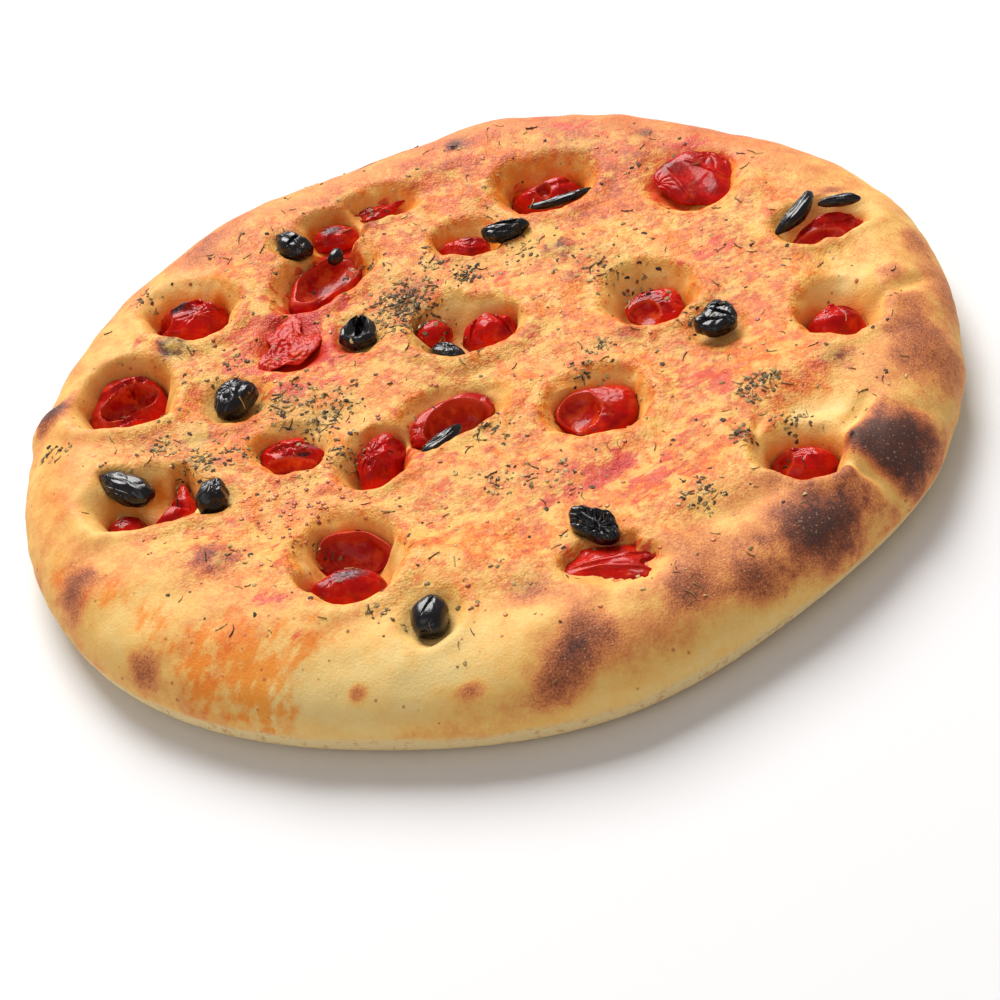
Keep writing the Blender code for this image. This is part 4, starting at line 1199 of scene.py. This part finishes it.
# %% Crust gloss and grain
shine = minus(minus(0.58, times(mask["oil"], 0.2)), times(smeared, 0.12))
coarse = plus(times(streaks, 0.2), times(medium, 0.6))
relief = plus(times(times(fine, sanded), 0.6), times(coarse, mask["sand"]))
relief = plus(plus(relief, times(pale_dots, 0.8)), times(granular, rough_share))
fill(shader, Base_Color=dough_colour, Roughness=plus(shine, times(fine, 0.12)),
     Coat_Weight=times(times(soaked, mask["sand"]), 0.10), Coat_Roughness=0.15,
     Specular_IOR_Level=0.35, Normal=bumped(relief, 0.6, 0.0006))
loaf = finish_mesh("baked_loaf", crust, baked, masks)
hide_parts("crust")
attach(loaf, "root")
print("loaf", len(loaf.data.polygons), "faces")

# %% [markdown]
# ## Dried oregano
# Dried oregano is broken leaf, brown-green and crumpled, with short dark stalks. Each
# bit is a few faces, copied many times. A particle system would scatter them too, but
# it leaves instances, and here every bit must be real mesh that lies on the crust, so a
# ray is dropped from above to find each resting place and its slope.

# %% Where a dropped bit comes to rest
DROP_FROM, FOOT_TOP = 0.2, 0.005  # Metres above the table.
LIFT = 0.15  # Millimetres from the crust to the middle of a bit.
rng = np.random.default_rng(17)
bpy.context.view_layer.update()
ground = bpy.context.evaluated_depsgraph_get()


def rest_spot(x, y, on_crust=False):
    """Where something dropped at x, y in millimetres comes to rest, and the slope."""
    hit, spot, normal, _, carrier, _ = bpy.context.scene.ray_cast(
        ground, Vector((x * MM, y * MM, DROP_FROM)), Vector((0, 0, -1)))
    if not hit or spot.z < FOOT_TOP or (on_crust and carrier.name != "baked_loaf"):
        return None, None
    return spot / MM, normal


print("a bit dropped in the middle lies at", rest_spot(0, 0)[0])


# %% Shapes of a bit of leaf, a stalk and a crumb
def leaf_bit(seed):
    """A crumpled scrap of leaf, about 3 mm before it is scaled."""
    bm = bmesh.new()
    bmesh.ops.create_grid(bm, x_segments=4, y_segments=3, size=1.0)
    for vert in bm.verts:
        x, y = vert.co.x, vert.co.y
        torn = 0.5 * noise.noise(Vector((x * 1.3, y * 1.3, seed * 3.1)))
        vert.co = (x * 1.4 + torn, y * (1.0 - 0.45 * x * x) - torn,
                   0.25 * math.sin(2.5 * x + seed) * y + 0.5 * torn)
    bmesh.ops.solidify(bm, geom=bm.faces, thickness=0.12)
    bmesh.ops.recalc_face_normals(bm, faces=bm.faces)
    return bm


def stalk(seed):
    """A thin bent stick, 5 mm before it is scaled."""
    bm = bmesh.new()
    bmesh.ops.create_cone(bm, cap_ends=True, segments=5, radius1=0.30, radius2=0.18, depth=5.0)
    bmesh.ops.rotate(bm, verts=bm.verts, matrix=Matrix.Rotation(math.pi / 2, 3, "Y"))
    sides = [e for e in bm.edges if abs(e.verts[0].co.x - e.verts[1].co.x) > 1]
    bmesh.ops.subdivide_edges(bm, edges=sides, cuts=3)
    for vert in bm.verts:
        vert.co.y += 0.06 * (seed - 1) * vert.co.x**2
        vert.co.z += 0.02 * vert.co.x**2 + 0.15 * math.sin(vert.co.x * 2 + seed)
    return bm


def crumb(seed):
    """A rough flat granule, about 1.5 mm before it is scaled."""
    bm = bmesh.new()
    bmesh.ops.create_icosphere(bm, subdivisions=2, radius=0.8)
    for vert in bm.verts:
        vert.co *= 1 + 0.35 * noise.noise(vert.co * 1.7 + Vector((seed * 5.1, 0, 0)))
        vert.co.z *= 0.26
    return bm


def scatter(name, shape, spots, surface, kinds=4):
    """Copies of a shape at many spots, as one piece. Each spot: x, y, size, turn, tilt."""
    templates = []
    for seed in range(kinds):
        bm = shape(seed)
        templates.append(bpy.data.meshes.new(name + "_one"))
        bm.to_mesh(templates[-1])
        bm.free()
    whole = bmesh.new()
    tints = []
    for number, (x, y, size, turn, tilt) in enumerate(spots):
        spot, normal = rest_spot(x, y, name == "granules")
        if spot is None:
            continue
        one = templates[number % kinds].copy()
        matrix = Matrix.Translation(spot + normal * LIFT)
        matrix @= Vector((0, 0, 1)).rotation_difference(normal).to_matrix().to_4x4()
        matrix @= Matrix.Rotation(turn, 4, "Z") @ Matrix.Rotation(tilt, 4, "X")
        one.transform(matrix @ Matrix.Scale(size, 4))
        whole.from_mesh(one)
        tints += [rng.uniform()] * len(one.vertices)
        bpy.data.meshes.remove(one)
    for template in templates:
        bpy.data.meshes.remove(template)
    piece = finish_mesh(name, whole, surface, {"tint": tints})
    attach(piece, "root")
    print(name, "has", len(piece.data.polygons), "faces")


# %% Finish of the herb and the granules
def bits_finish(name, roughness, vein_size, seed, share, vein_colour, *stops):
    """A matt material whose colour runs from bit to bit, with fine darker veins."""
    made, tree, shader = new_material(name)
    tint = colour_ramp(painted(tree, "tint"), *stops)
    veins = patches(tree, vein_size, 2.0, 0.35, 0.65, seed)
    fill(shader, Base_Color=blend(times(veins, share), tint, colour(*vein_colour)),
         Roughness=roughness)
    return made


herb = bits_finish("dried oregano", 0.7, 0.8, 21.0, 0.3, (40, 34, 24),
                   (0.0, 48, 30, 20), (0.30, 90, 60, 34), (0.46, 138, 108, 58),
                   (0.72, 166, 138, 78), (0.86, 206, 176, 110), (1.0, 232, 202, 140))
granule = bits_finish("baked tomato granules", 0.4, 0.9, 22.0, 0.35, (150, 60, 40),
                      (0.0, 150, 66, 40), (0.3, 206, 106, 56), (0.7, 226, 140, 74),
                      (1.0, 240, 172, 100))
print("materials", [m.name for m in bpy.data.materials if m.users])


# %% Scatter the herb and the granules
def around(x, y, reach_mm, count):
    """Seeded spots round a clump's middle."""
    far = reach_mm * np.sqrt(-np.log(rng.uniform(0.05, 1, count)))
    angle = rng.uniform(0, 2 * math.pi, count)
    return zip(x + far * np.cos(angle), y + far * np.sin(angle))


def anywhere(count, most=155):
    """Seeded spots all over the loaf's top."""
    far = most * np.sqrt(rng.uniform(0, 1, count))
    angle = rng.uniform(0, 2 * math.pi, count)
    return zip(far * np.cos(angle), far * np.sin(angle))


def with_pose(spots, small, large, most_tilt):
    """Adds a random size, turn and tilt to each spot."""
    return [(x, y, rng.uniform(small, large), rng.uniform(0, 2 * math.pi),
             rng.uniform(-most_tilt, most_tilt)) for x, y in spots]


def in_clumps(wider, fuller):
    """Spots in all the clumps, each so much wider and fuller than its row says."""
    return [spot for x, y, size, count in CLUMPS
            for spot in around(x, y, size * wider, int(count * fuller))]


leaf_spots = in_clumps(1.25, 3.4) + list(anywhere(420))
stalk_spots = in_clumps(1.3, 0.6) + list(anywhere(230))
crumb_spots = list(anywhere(170, 145)) + list(around(-74, -58, 19, 80))
scatter("oregano_leaf", leaf_bit, with_pose(leaf_spots, 0.22, 0.80, 0.45), herb)
scatter("oregano_stalk", stalk, with_pose(stalk_spots, 0.35, 1.0, 0.25), herb)
scatter("granules", crumb, with_pose(crumb_spots, 0.4, 1.2, 0.2), granule)

# %% [markdown]
# ## The size of the dressed loaf
# The box of the dressed loaf, without the floor, is written in millimetres. The dressed
# loaf has to stay in the CAD's box.

# %% Write the dressed loaf's box
low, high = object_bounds()
print("visual box in mm", [round(v * 1000, 1) for v in (*low, *high)])
